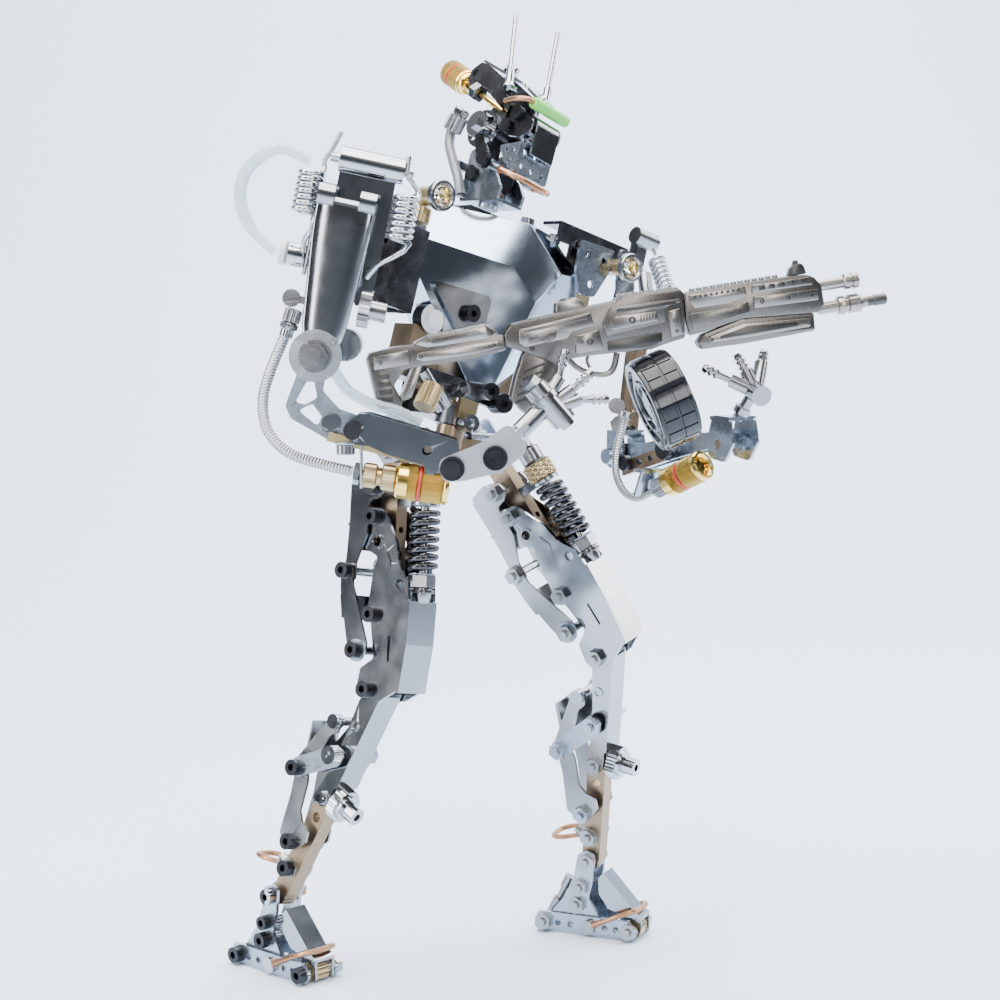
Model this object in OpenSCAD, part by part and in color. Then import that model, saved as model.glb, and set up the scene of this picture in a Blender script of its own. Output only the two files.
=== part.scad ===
// Articulated metal robot figure holding a toy rifle, built from small hardware:
// hinge arms, perforated strips, coil springs, knurled connectors and machine screws.
// Millimetres, +Z up, the figure faces -Y, its own left side is +X, soles on Z = 0.

/* [Stance] */
// Sideways shift that centres the figure over the origin
shift_x = 13.4; // [-60:0.1:60]
// Front-back shift that centres the figure over the origin
shift_y = 28.8; // [-60:0.1:60]
// Length of a thigh between hip screw and knee screw
thigh_l = 67.5; // [66:0.1:69]
// Length of a shin between knee screw and ankle screw
shin_l = 81.4; // [80.5:0.1:83]
// Height of the ankle screw above the floor
ankle_h = 27; // [26:0.5:28]

/* [Fasteners] */
// Radius of the machine screws (M3)
scr_r = 1.5; // [1.2:0.05:1.5]
// Radius of a running hole for those screws
run_r = 1.56; // [1.54:0.01:1.6]
// Radius of a socket screw head
head_r = 2.75; // [2.4:0.05:3]
// Height of a socket screw head
head_h = 2.8; // [2:0.1:3]
// Width of a hex nut across its flats
nut_af = 5.5; // [5:0.1:6]

/* [Sheet metal] */
// Thickness of the pressed side plates
sheet_t = 1.2; // [0.8:0.1:1.3]
// Outer radius of a thigh spring
thigh_spring_r = 5.1; // [4:0.1:5.4]
// Wire radius of a thigh spring
thigh_wire_r = 0.95; // [0.7:0.05:1]

/* [Toy rifle] */
// Body thickness of the rifle
gun_t = 6.4; // [5:0.2:7]
// Radius of the drum magazine
drum_r = 16.2; // [14:0.2:17]
// Length of the drum magazine
drum_l = 13.5; // [12:0.5:14]

/* [Hidden] */
$fn = 32;
sh = [shift_x, shift_y, 0];

// ---------- vectors and frames ----------
function unit(v) = v / norm(v);
function perp(v, n) = v - (v * n) * n;
module frame(o, x, y, z) multmatrix([[x[0], y[0], z[0], o[0]], [x[1], y[1], z[1], o[1]], [x[2], y[2], z[2], o[2]], [0, 0, 0, 1]]) children();
// frame from a long axis z and a rough sideways axis
function f_from(o, z, s) = let (zz = unit(z), xx = unit(perp(s, zz))) [o, xx, cross(zz, xx), zz];
module at(f) frame(f[0], f[1], f[2], f[3]) children();
function loc(f, p) = f[0] + f[1] * p[0] + f[2] * p[1] + f[3] * p[2];
// frame rolled by phi about the front axis after turning by psi about +Z
function f_roll(o, phi, psi) = let (L = [cos(phi) * cos(psi), cos(phi) * sin(psi), -sin(phi)], B = [-sin(psi), cos(psi), 0]) [o, L, B, cross(L, B)];

// ---------- leg skeleton ----------
hip_r = [-47, 5, 166] + sh;
hip_l = [5, 2, 163] + sh;
foot_r = [-73.9, 31, 0] + sh;
foot_l = [33.5, -13.8, 0] + sh;
foot_yaw_r = 1.5;
foot_yaw_l = 20.5;
// knee position from the two bone lengths, on the side of the given hint
function knee(h, a, k0) = let (d = norm(a - h), u = unit(a - h), q = (thigh_l * thigh_l - shin_l * shin_l + d * d) / (2 * d), n = unit(perp(k0 - h, u))) h + u * q + n * sqrt(thigh_l * thigh_l - q * q);
ank_r = foot_r + [0, 0, ankle_h];
ank_l = foot_l + [0, 0, ankle_h];
knee_r = knee(hip_r, ank_r, [-58.1, -1.5, 100.1] + sh);
knee_l = knee(hip_l, ank_l, [22.9, -30.3, 105.9] + sh);
leg_n_r = unit(cross(knee_r - hip_r, ank_r - knee_r));
leg_n_l = unit(cross(knee_l - hip_l, ank_l - knee_l));
TR = f_from(hip_r, hip_r - knee_r, leg_n_r);
TL = f_from(hip_l, hip_l - knee_l, leg_n_l);
SR = f_from(knee_r, knee_r - ank_r, leg_n_r);
SL = f_from(knee_l, knee_l - ank_l, leg_n_l);
FR = f_from(foot_r, [0, 0, 1], [cos(foot_yaw_r), sin(foot_yaw_r), 0]);
FL = f_from(foot_l, [0, 0, 1], [cos(foot_yaw_l), sin(foot_yaw_l), 0]);
// hip screw sits above the top of the thigh
hip_y = -2; hip_z = 12;
pr_ = loc(TR, [0, hip_y, hip_z]);
pl_ = loc(TL, [0, hip_y, hip_z]);
PV = f_from((pr_ + pl_) / 2, cross(unit(pl_ - pr_), [0, 1, 0]), pl_ - pr_);

// ---------- torso, arms and rifle frames ----------
waist = [-20, 4.3, 183.7] + sh;
T0 = f_roll(waist, 17, -5);
HD = f_roll(loc(T0, [0, 13, 107.5]), 20.5, 0);
// right arm lies in a plane turned 45 degrees outwards
ER = f_roll([-86, -4, 212.3] + sh, 12, -45);
VR = f_roll([-86, -4, 212.3] + sh, 0, -45);
GF = f_from([-14.6, -42.5, 214.5] + sh, cross([0.819 * cos(9), -0.574 * cos(9), sin(9)], [0.574, 0.819, 0]), [0.819 * cos(9), -0.574 * cos(9), sin(9)]);
VL = f_roll([-7, -22, 196] + sh, 0, -45);
VF = f_roll([44.3, -19.4, 173.3] + sh, 0, -98);
dk = [[-4, -3.4], [4, -6], [14, -3.6], [30, 1], [47, 5.4], [58, 5], [58, 10.4], [50, 11.4], [36, 10], [12, 5], [-3, 4.4]];

// ---------- generic shapes ----------
module pyz(x0, t) translate([x0, 0, 0]) rotate([90, 0, 90]) linear_extrude(t) children();
module both(x0, t) { pyz(x0, t) children(); pyz(-x0 - t, t) children(); }
module pxz(y0, t) translate([0, y0 + t, 0]) rotate([90, 0, 0]) linear_extrude(t) children();
module cx(x0, x1, r, y = 0, z = 0, n = 32) translate([x0, y, z]) rotate([0, 90, 0]) cylinder(r = r, h = x1 - x0, $fn = n);
module cy(y0, y1, r, x = 0, z = 0, n = 32) translate([x, y0, z]) rotate([-90, 0, 0]) cylinder(r = r, h = y1 - y0, $fn = n);
module cz(z0, z1, r, x = 0, y = 0, n = 32) translate([x, y, z0]) cylinder(r = r, h = z1 - z0, $fn = n);
// rounded polygon outline
function ang2(v) = atan2(v[1], v[0]);
function wrap(a) = a > 180 ? a - 360 : a < -180 ? a + 360 : a;
function corner(a, b, c, r, n) = let (u = unit(a - b), v = unit(c - b), g = acos(max(-1, min(1, u * v))))
  g > 172 ? [b] : let (t = min(r / tan(g / 2), 0.45 * min(norm(a - b), norm(c - b))), rr = t * tan(g / 2), o = b + unit(u + v) * (rr / sin(g / 2)),
  a1 = ang2(b + u * t - o), da = wrap(ang2(b + v * t - o) - a1)) [for (k = [0:n]) o + rr * [cos(a1 + da * k / n), sin(a1 + da * k / n)]];
function rp(P, r = 1.5, n = 4) = [for (i = [0:len(P) - 1]) each corner(P[(i + len(P) - 1) % len(P)], P[i], P[(i + 1) % len(P)], r, n)];
module holes(H, r = 1.56) for (h = H) translate(h) circle(r = r, $fn = 24);
module slab(P, r = 1.5, H = [], hr = 1.56) difference() { polygon(rp(P, r)); holes(H, hr); }
// toothed wheel outline for knurled parts
module teeth(r, n, d = 0.35) polygon([for (i = [0:2 * n - 1]) (r - (i % 2) * d) * [cos(180 * i / n), sin(180 * i / n)]]);
module knurl(r, h, n = 24, bore = 0) difference() { linear_extrude(h) teeth(r, n); if (bore > 0) translate([0, 0, -1]) cylinder(r = bore, h = h + 2); }
module nutz(h = 2.3, af = nut_af) cylinder(r = af / 2 / cos(30), h = h, $fn = 6);
// socket screw along +X: head outside x0, shank to x1, optional nut ending before x1
module bolt(x0, x1, y, z, r = scr_r, nut = true, hd = head_r, hh = head_h) translate([0, y, z]) {
  difference() { cx(x0 - hh, x0, hd); cx(x0 - hh - 1, x0 - hh + 1.6, 1.35, 0, 0, 6); }
  cx(x0 - 0.01, x1, r, 0, 0, 24);
  if (nut) translate([x1 - 3.6, 0, 0]) rotate([0, 90, 0]) nutz();
}
module ring(ro, ri, h) difference() { cylinder(r = ro, h = h); translate([0, 0, -1]) cylinder(r = ri, h = h + 2); }
module ringx(x0, x1, ro, ri, y = 0, z = 0) translate([x0, y, z]) rotate([0, 90, 0]) ring(ro, ri, x1 - x0);
module ringy(y0, y1, ro, ri, x = 0, z = 0) translate([x, y0, z]) rotate([-90, 0, 0]) ring(ro, ri, y1 - y0);
// tube of radius r swept along points P, section kept square to a fixed side vector s
function tang(P, i) = unit(P[min(i + 1, len(P) - 1)] - P[max(i - 1, 0)]);
module sweep(P, r, s, n = 8) polyhedron(
  points = [for (i = [0:len(P) - 1]) let (t = tang(P, i), a = unit(perp(s, t)), b = cross(t, a)) for (k = [0:n - 1]) P[i] + r * (cos(360 * k / n) * a + sin(360 * k / n) * b)],
  faces = concat([[for (k = [0:n - 1]) k]], [for (i = [0:len(P) - 2], k = [0:n - 1]) [i * n + k, (i + 1) * n + k, (i + 1) * n + (k + 1) % n, i * n + (k + 1) % n]], [[for (k = [n - 1:-1:0]) (len(P) - 1) * n + k]]), convexity = 6);
// smooth curve through control points
function cr(a, b, c, d, t) = 0.5 * ((2 * b) + (c - a) * t + (2 * a - 5 * b + 4 * c - d) * t * t + (3 * b - a - 3 * c + d) * t * t * t);
function smooth(P, m = 5) = concat([for (i = [0:len(P) - 2], k = [0:m - 1]) cr(P[max(i - 1, 0)], P[i], P[i + 1], P[min(i + 2, len(P) - 1)], k / m)], [P[len(P) - 1]]);
// tube whose section is carried along the path, for wires that turn in every direction
module wire(P, r, s0, n = 6) let (A = [for (i = 0, a = unit(perp(s0, tang(P, 0))); i < len(P); i = i + 1, a = unit(perp(a, tang(P, min(i, len(P) - 1))))) a]) polyhedron(
  points = [for (i = [0:len(P) - 1]) let (t = tang(P, i), a = A[i], b = cross(t, a)) for (k = [0:n - 1]) P[i] + r * (cos(360 * k / n) * a + sin(360 * k / n) * b)],
  faces = concat([[for (k = [0:n - 1]) k]], [for (i = [0:len(P) - 2], k = [0:n - 1]) [i * n + k, (i + 1) * n + k, (i + 1) * n + (k + 1) % n, i * n + (k + 1) % n]], [[for (k = [n - 1:-1:0]) (len(P) - 1) * n + k]]), convexity = 10);
// points of a tension spring along +Z: lower hook, coil, upper hook
function helix(r, w, h, turns, n = 12) = [for (i = [0:turns * n]) [r * cos(360 * i / n), r * sin(360 * i / n), w + (h - 2 * w) * i / (turns * n)]];
// coil spring along +Z, closed end to end
module coil(r, w, h, turns, n = 14, sides = 6) let (N = turns * n)
  polyhedron(points = [for (i = [0:N], k = [0:sides - 1]) let (a = 360 * i / n, z = w + (h - 2 * w) * i / N, q = 360 * k / sides) [(r + w * cos(q)) * cos(a), (r + w * cos(q)) * sin(a), z - w * sin(q)]],
  faces = concat([[for (k = [0:sides - 1]) k]], [for (i = [0:N - 1], k = [0:sides - 1]) [i * sides + k, (i + 1) * sides + k, (i + 1) * sides + (k + 1) % sides, i * sides + (k + 1) % sides]], [[for (k = [sides - 1:-1:0]) N * sides + k]]), convexity = 10);

// ================= legs (modelled for the right leg, outer side -X) =================
shell_side = [[0.5, -7], [-3.5, -7.2], [-7.4, -14.3], [-10, -18.6], [-11.6, -25.9], [-16, -31.7], [-16.4, -37.5], [-15.6, -52], [-13, -67.5], [-6, -71], [0.9, -71.8], [5, -67.5], [3.6, -60.5], [-2.1, -57.2], [-0.1, -45.1], [1.7, -40.9], [-0.3, -27.6], [-2.2, -23.6], [4.8, -20.1], [3.5, -10]];
module thigh_shell() color("silver") union() {
  both(5.6, sheet_t) difference() { polygon(rp(shell_side, 1.6)); holes([[0.3, -10], [-1, -42.7], [0, -thigh_l], [3.1, -54.7]], 1.56); holes([[-1.7, -18.4], [-12.4, -32.5]], 1.7); }
  // front wall joining the two sides
  pyz(-6.8, 13.6) polygon([[-15.9, -38], [-17.1, -38], [-16.4, -52.5], [-13.8, -68.3], [-12.5, -68.3], [-15.2, -52.5]]);
  // pressed rib and pad on each side
  for (s = [-1, 1]) {
    for (q = [[-5.6, -21.9, -7.4, -25.6], [-7.4, -25.6, -5.3, -32.2]]) hull() { cx(s * 6.8 - 0.45, s * 6.8 + 0.45, 0.7, q[0], q[1], 16); cx(s * 6.8 - 0.45, s * 6.8 + 0.45, 0.7, q[2], q[3], 16); }
    translate([s * 6.8, -7.3, -54]) cube([1.2, 2.8, 8.4], center = true);
    ringx(s > 0 ? 6.7 : -7.3, s > 0 ? 7.3 : -6.7, 2.5, 1.7, -1.7, -18.4);
  }
}
link_side = [[9.6, 2.6], [2.5, 4.2], [-3.4, 2.6], [-4.6, -1.4], [-2.2, -4.2], [2, -4.9], [2.2, -15.9], [4.8, -21.2], [6.6, -25.4], [6.8, -31], [10.8, -33], [12.2, -30.6], [11.2, -24.4], [10.9, -21.2]];
low_side = [[6.5, -32], [12.2, -33.2], [11.6, -38], [8.2, -52], [4, -58.6], [0, -57.5], [-0.8, -52.6]];
module thigh_links() color("gray") union() {
  both(7.3, 0.9) slab(link_side, 1.4, [[0, 0], [10, -28.2]], 1.5);
  both(7.3, 0.9) difference() { polygon([[2, -13], [11, -13], [11, -12], [2, -12]]); }
  // rear web of the upper link and of the lower link
  translate([-8.2, 9.2, -21]) cube([16.4, 1.2, 22]);
  both(8.3, 0.8) slab([[7.4, -25.6], [12.4, -26], [12.2, -34.6], [8.4, -51.4], [6.6, -56.8], [2.6, -58.4], [-0.4, -55.6], [-0.6, -52], [6.6, -33]], 1.3, [[10, -28.2], [3.1, -54.7]], 1.5);
  translate([-9.1, 10.2, -44]) rotate([-8, 0, 0]) cube([18.2, 0.9, 8]);
  for (s = [-1, 1]) translate([s * 9.1, 3.1, -54.7]) rotate([0, s * 90, 0]) ring(3.8, 1.5, 0.8);
}
module thigh_bar() union() {
  color("peru") difference() {
    union() { translate([-2.6, -5.6, -31]) cube([5.2, 7.2, 42]); cx(-2.6, 2.6, 3.6, hip_y, hip_z); }
    cx(-9, 9, run_r, hip_y, hip_z);
    for (q = [[0, 0], [0.3, -10], [-1.3, -26.5]]) cx(-9, 9, scr_r, q[0], q[1]);
    cx(-9, 9, 1.6, -2, -18.4); for (z = [-22, -14, -5]) cy(-9, 9, 1.1, 0, z);
  }
  // screws of the thigh, heads outwards
  color("dimgray") { bolt(-8.2, 11.8, 0, 0); bolt(-6.8, 10.4, 0.3, -10); bolt(-6.8, 10.4, -1, -42.7); bolt(-9.1, 12.4, 10, -28.2); bolt(-9.9, 13.2, 3.1, -54.7); bolt(-2.6, 6.2, -1.3, -26.5); }
  // knee screw
  color("dimgray") bolt(-6.8, 10.4, 0, -thigh_l);
  // spacers between the bar and the link plates
  color("silver") for (s = [-1, 1]) ringx(s > 0 ? 2.6 : -7.3, s > 0 ? 7.3 : -2.6, 2.6, 1.5, 0, 0);
}
module thigh_spring() union() {
  color("dimgray") translate([0, -16, -28.9]) coil(thigh_spring_r - thigh_wire_r, thigh_wire_r, 22.4, 7);
  // centre rod, upper collar, cap and lower seat
  color("silver") { cz(-37, 9, 1.6, 0, -16); translate([0, -16, -33.6]) nutz(4.5, 8); translate([0, -16, -38.5]) cylinder(r1 = 2.6, r2 = 3.4, h = 4.9); cz(1.6, 7.2, 4.1, 0, -16); cz(7.2, 10.6, 2.6, 0, -16); cz(-6.4, -5.0, 4.9, 0, -16); }
  color("darkgoldenrod") translate([0, -16, -5]) knurl(5.3, 6.4, 28);
  // side bracket that ties the rod to the thigh bar
  color("lightgray") difference() { translate([-2.4, -12.4, -6.3]) cube([4.8, 7.2, 3.2]); cz(-20, 2, 1.3, 0, -16); }
}
shin_side = [[2.4, 2.6], [-2.6, 4.4], [-5.3, 1.6], [-5.3, -35.4], [-4.6, -36], [-4, -40], [-3.4, -44.6], [1, -44.8], [2.2, -41], [1.4, -36], [1.2, -20], [2.4, -6]];
module shin_channel() color("lightgray") union() {
  both(4, 1) slab(shin_side, 1.6, [[0, 0], [-1, -42]], run_r);
  translate([-5, -5.3, -35.8]) cube([10, 1, 36]);
  for (s = [-1, 1]) difference() { ringx(s > 0 ? 4.9 : -5.5, s > 0 ? 5.5 : -4.9, 2, 1.2, -0.6, -13.8); }
}
shin_up = [[6.4, -13.8], [9, -16.4], [14.8, -36.6], [14.2, -41], [10.4, -41.2], [9.2, -36.6], [5.8, -21.6], [3.4, -19], [3.6, -15]];
shin_lo = [[14.6, -38], [11.2, -48], [8.4, -62], [4, -64.6], [-0.6, -63.2], [-3.8, -58.2], [-2.6, -54.2], [1.4, -53.4], [4.2, -50.8], [6.6, -41], [9.6, -36]];
module shin_links() union() {
  color("silver") { both(5.9, 0.9) slab(shin_up, 1.3, [[6.2, -16.4], [12, -38.5]], 1.5); both(5, 0.9) slab(shin_lo, 1.3, [[12, -38.5], [2, -61.6]], 1.5);
    translate([-6.8, 11.3, -33]) rotate([-16, 0, 0]) cube([13.6, 0.9, 12]); }
  color("lightgray") { for (s = [-1, 1]) translate([s > 0 ? 6.8 : -8, 0, 0]) pyz(0, 1.2) slab([[-3.6, -22.6], [1, -22.4], [15, -36.6], [15, -40.6], [11, -41.8], [-3.4, -28]], 1.8, [[12, -38.5], [-0.7, -25.3]], 1.5);
    cx(-8.4, -5, 2.5, 6.2, -16.4, 24); cx(5, 8.4, 2.5, 6.2, -16.4, 24); cx(-5, 5, 1.5, 6.2, -16.4, 24); }
  color("dimgray") { bolt(-8, 11.6, 12, -38.5); bolt(-8, 11.6, -0.7, -25.3, 1.5, true, 3.2, 3.4); bolt(-5.9, 9.5, 2, -61.6); }
}
module shin_bar(d) union() {
  color("tan") difference() {
    union() { translate([-2.8, -4.3, 1.2 - shin_l]) cube([5.6, 7.1, 43]); cx(-2.8, 2.8, 3.9, 0, -shin_l); }
    // bore along the ankle screw, which is level with the sole
    at(f_from([0, 0, -shin_l], d, [0, 1, 0])) cz(-9, 9, run_r);
    cx(-9, 9, 1.7, -1, -50); cx(-9, 9, 1.5, 2, -61.6); cx(-9, 9, 1.5, -1, -42); cx(-9, 9, 1.5, 0, -71.2); cx(-9, 9, 1.3, 12, -38.5);
  }
  // knurled adjuster on the front of the shin
  color("silver") { translate([-0.5, -5.4, -41]) rotate([90, 0, 0]) { knurl(6.1, 3.4, 30); cylinder(r = 4.6, h = 4.6); difference() { cylinder(r = 3.1, h = 9.4); translate([0, 0, 7]) cylinder(r = 1.5, h = 3, $fn = 6); } } translate([-0.5, -4.2, -41]) rotate([90, 0, 0]) cylinder(r = 1.5, h = 2); }
  color("dimgray") { bolt(-5, 8.4, -1, -42, 1.5, true, 2.4, 1.4); bolt(-3.6, 6.9, 0, -71.2); }
  color("lightgray") { ringx(-3.6, -2.8, 3.4, 1.5, 0, -71.2); ringx(2.8, 3.6, 3.4, 1.5, 0, -71.2); }
  // copper wire loop behind the ankle
  color("sienna") sweep(smooth([[-2.5, 3.2, -71.6], [-4.6, 7, -72.6], [-5.4, 11, -74], [-3.6, 14.4, -75.2], [0, 15.2, -75.6], [3.6, 14.4, -75.2], [5.4, 11, -74], [4.6, 7, -72.6], [2.5, 3.2, -71.6]], 3), 0.95, [0, 0.4, 1]);
  color("silver") for (s = [-1, 1]) translate([s * 2.2, 1.8, -71.4]) rotate([-70, 0, 0]) cylinder(r = 1.5, h = 4.4);
}
foot_link = [[-3.2, 30], [0, 31], [3.4, 29.6], [5, 21], [8, 14], [13.5, 7.4], [13.5, 4], [-5, 4], [-4, 8.4], [-0.6, 14], [-2.6, 22]];
module foot_frame() union() {
  color("lightsteelblue") {
    both(4.4, 1.2) slab(foot_link, 1.5, [[0, ankle_h], [3.5, 11], [2.4, 17]], 1.5);
    both(5.6, 1.2) difference() { polygon(rp([[18.4, 0], [19.8, 3.6], [18.4, 7.2], [-17, 7.2], [-20.4, 3.6], [-18.4, 0]], 1.6)); holes([[16, 3.6], [-17, 3.6]], 1.5); holes([[10.6, 3.6], [5.6, 3.6], [-7.6, 3.6], [-12, 3.6]], 1.2); }
  }
  color("dimgray") { bolt(-5.6, 9.2, 0, ankle_h); bolt(-5.6, 9.2, 3.5, 11); bolt(-5.6, 9.2, 2.4, 17.4, 1.5, true, 2.4); bolt(-6.8, 10.4, 16, 3.6); bolt(-6.8, 10.4, -17, 3.6); }
  // heel turnbuckle
  color("silver") { cx(-3, 3, 2.9, 16, 3.6); translate([0, 15.4, 5.4]) rotate([26, 0, 0]) { cylinder(r = 2.2, h = 6); cylinder(r = 1.3, h = 14); translate([0, 0, 11]) cylinder(r = 1.9, h = 4.6); } }
  color("silver") for (s = [-1, 1]) translate([s > 0 ? 6.8 : -8.6, -1.5, 3.6]) rotate([0, 90, 0]) cylinder(r = 2.6, h = 1.8);
  color("sienna") sweep(smooth([[-7.9, -3.4, 4.4], [-8.1, -8, 6.6], [-8, -13, 9], [-6.6, -17.8, 10.8], [-3, -19.4, 11.2], [3, -19.4, 11.2], [6.6, -17.8, 10.8], [8, -13, 9], [8.1, -8, 6.6], [7.9, -3.4, 4.4]], 3), 0.95, [0, 0.4, 1]);
  color("darkgoldenrod") translate([-3.2, -17, 3.6]) rotate([0, 90, 0]) knurl(3.3, 6.4, 20);
}
module foot_cover() color("silver") union() {
  both(3.4, 0.8) slab([[-4, 21], [-6, 23.2], [-17.4, 11], [-19.6, 9.2], [-20.8, 8], [-20.8, 1.2], [-15.4, 1.2], [-13.4, 9], [-8.4, 10], [-4.4, 15]], 1, [[-17, 3.6]], 3.6);
  pyz(-4.2, 8.4) polygon([[-6, 23.2], [-17.2, 11.2], [-20.8, 8.6], [-20.8, 7.6], [-16.8, 10.2], [-6.6, 21.2], [-4.8, 21.6]]);
}
// direction of the ankle screw seen from the shin
ank_dir_r = [FR[1] * SR[1], FR[1] * SR[2], FR[1] * SR[3]];
ank_dir_l = [FL[1] * SL[1], -(FL[1] * SL[2]), -(FL[1] * SL[3])];

// ================= pelvis =================
module pelvis_block() color("peru") union() {
  at(PV) difference() { translate([-12, -5, -4]) cube([24, 10, 9.4]); cx(-20, 20, 1.5, 0, 1.2); for (x = [-7, 0, 7]) cy(-9, 9, 1.6, x, -1.6); }
  at(T0) { cz(-5, 1.7, 5, 0, 0); cz(-5, 8.6, 3, 0, 0); cz(8.6, 10.4, 4.6, 0, 0); }
}
module pelvis_frame() union() {
  color("lightsteelblue") for (f = [TR, TL]) at(f) difference() { both(2.95, 1.2) slab([[-6.4, 10], [-5, 8.2], [1, 8.2], [2.6, 12], [4.6, 24], [-6.4, 25]], 2.2, [[hip_y, hip_z]], 1.5); }
  color("dimgray") { at(TR) bolt(-4.15, 7.6, hip_y, hip_z); at(TL) mirror([1, 0, 0]) bolt(-4.15, 7.6, hip_y, hip_z); }
  color("silver") at(PV) { cx(-29, 29, 1.5, 0, 6.4, 24); for (s = [-1, 1]) ringx(s > 0 ? 10 : -18, s > 0 ? 18 : -10, 2.6, 1.5, 0, 6.4); }
}

// ================= torso =================
F_ = [[-34, 58.5], [5.5, 60.5], [18.5, 51.5], [15.5, 41], [8.5, 18.5], [-3, 17], [-28, 43], [-34, 46]];
M_ = [[-34, 72], [13, 78.5], [32, 66], [31, 46], [14, 17], [-4, 16], [-31, 42], [-36, 48]];
O_ = [[-34, 74.5], [18, 80.5], [30, 79.5], [47, 69], [48, 62], [40, 44], [18, 17], [-4, 15.5], [-33, 41], [-38, 49]];
function shr(P, c, k) = [for (p = P) c + (p - c) * k];
module chest_shell() color("lightsteelblue") at(T0) difference() {
  hull() { pxz(-7, 0.2) polygon(F_); pxz(-1.4, 0.2) polygon(M_); pxz(5.8, 0.2) polygon(O_); }
  hull() { pxz(-5.8, 0.2) polygon(shr(F_, [-4, 44], 0.95)); pxz(-0.2, 0.2) polygon(shr(M_, [-4, 44], 0.95)); pxz(6.6, 0.2) polygon(shr(O_, [-2, 45], 0.955)); }
  cy(-9, -4, 1.6, -10, 39.5);
}
module chest_panel() color("slategray") at(T0) { pxz(-8.3, 1.2) slab([[-29, 46], [-3.5, 47.6], [-1.8, 46], [-2.2, 34.8], [-11, 31.6], [-13, 32]], 1.2, [[-10, 39.5]], 1.5); }
module torso_frame() color("dimgray") at(T0) {
  difference() { union() { cz(2.1, 8.3, 6.2); translate([-9, 0, 4.3]) cube([18, 17, 4]); } cz(-1, 20, 3.06); }
  pxz(15.6, 1.4) difference() { polygon(rp([[-11, 4.3], [11, 4.3], [15, 40], [21, 62], [21, 76], [-21, 76], [-21, 62], [-15, 40]], 2)); holes([for (z = [14, 24, 34, 44, 54, 64], x = [-7, 7]) [x, z]], 1.6); holes([[0, 20], [0, 36], [0, 52]], 3); }
  // cross beam and shell standoffs
  translate([-40, 8, 63]) cube([86, 7.6, 8]);
  translate([-12, 2, 76]) cube([24, 15, 1.6]);
  for (x = [-22, 14]) cy(-5.6, 8.4, 2.6, x, 55, 6);
  for (x = [-6, 6]) cy(-5.4, 15.6, 2.6, x, 30, 6);
}
module shoulder_channels() union() {
  color("dimgray") at(T0) {
    // right: closed dark channel standing beside the chest
    difference() { translate([-48, -15, 31]) cube([9, 23, 28]); translate([-46.8, -13.8, 30]) cube([6.6, 21, 28]); translate([-49, 2, 28]) rotate([-40, 0, 0]) cube([12, 14, 10]); cx(-60, -30, 1.5, -4, 54); }
    translate([-46, 8, 55]) cube([6, 7, 8]);
    // left: dark channel from chest to shoulder
    translate([26, -2, 77]) cube([34, 1.2, 7]); translate([26, -2, 82.8]) cube([34, 10, 1.2]); translate([40, 6, 66]) cube([8, 2, 17]); translate([50, -1, 74]) cube([9.6, 9, 9]); cx(59, 73, 1.5, 4, 79); cx(71, 73, 2.8, 4, 79);
  }
  color("lightgray") at(T0) pxz(-4, 1.2) slab([[35, 80], [52, 81], [53, 76], [47, 62], [40, 61], [36, 68]], 2, [[40, 76], [48, 76], [44, 66]], 1.4);
  color("silver") at(T0) pxz(-6.5, 1.2) slab([[52, 82], [58, 82], [63, 70], [62, 62], [57, 61], [54, 70]], 2, [[59, 65]], 1.5);
}
lamp_r = [-40.5, -17, 71]; lamp_l = [55, -9, 75.5];
module lamp(f) translate(f) rotate([90, 0, 0]) { difference() { cylinder(r = 5.2, h = 2.6); translate([0, 0, 1.2]) cylinder(r = 3.9, h = 2); } translate([0, 0, 1.2]) cylinder(r1 = 3.85, r2 = 2.6, h = 1.6, $fn = 24); translate([0, 0, -7]) cylinder(r = 3.4, h = 7); }
module shoulder_lamps() color("khaki") at(T0) { lamp(lamp_r); lamp(lamp_l); }
module torso_connectors() color("darkgoldenrod") at(T0) {
  translate([-40.5, -8, 62]) knurl(4.2, 5, 20);
  translate([44, 5, 56]) cube([9, 8, 8]);
  // belt of fittings hung from the frame
  translate([-26, -7, 11.6]) cube([36, 1.4, 6]); translate([-4, -7, 4.5]) cube([8, 2, 8]);
  translate([-12, -7, 12]) cube([7, 23, 4]);
  translate([-30, -6, 12.2]) cube([13, 11, 18]); translate([12, -1, 14]) cube([9, 8, 14]); translate([9, -7, 12.4]) cube([8, 9, 5]);
  translate([-21.4, -10, 3.6]) rotate([-10, 20, 0]) knurl(3.8, 8.6, 20);
}
module torso_screws() color("dimgray") at(T0) {
  translate([-10, -8.3, 39.5]) rotate([90, 0, 0]) { difference() { cylinder(r = 3, h = 2.4); translate([0, 0, 1]) cylinder(r = 1.3, h = 2, $fn = 6); } translate([0, 0, -3]) cylinder(r = 1.45, h = 3.01); }
  translate([16, 4.5, 78.6]) cylinder(r = 2.5, h = 3); translate([30, 4.5, 77]) cylinder(r = 2.2, h = 3);
  // threaded rod with its cap, and the screws along the belt
  translate([-23, -6.6, 16]) rotate([0, 128, 0]) { cylinder(r = 2.3, h = 12); translate([0, 0, 9]) knurl(3.6, 6.4, 20); }
  for (q = [[-0.1, 2.4, 3], [5.3, 14.9, 3], [12, 12.4, 3.4], [-6.6, 12.4, 2.6]]) translate([q[0], -5.9, q[1] + 1]) rotate([90, 0, -14]) difference() { cylinder(r = q[2], h = 7); translate([0, 0, 5.4]) cylinder(r = 1.5, h = 3, $fn = 6); }
  translate([-23.7, -2, 33.6]) rotate([90, 0, 0]) { ring(5, 2.4, 5); cylinder(r = 3, h = 7); }
}
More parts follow.
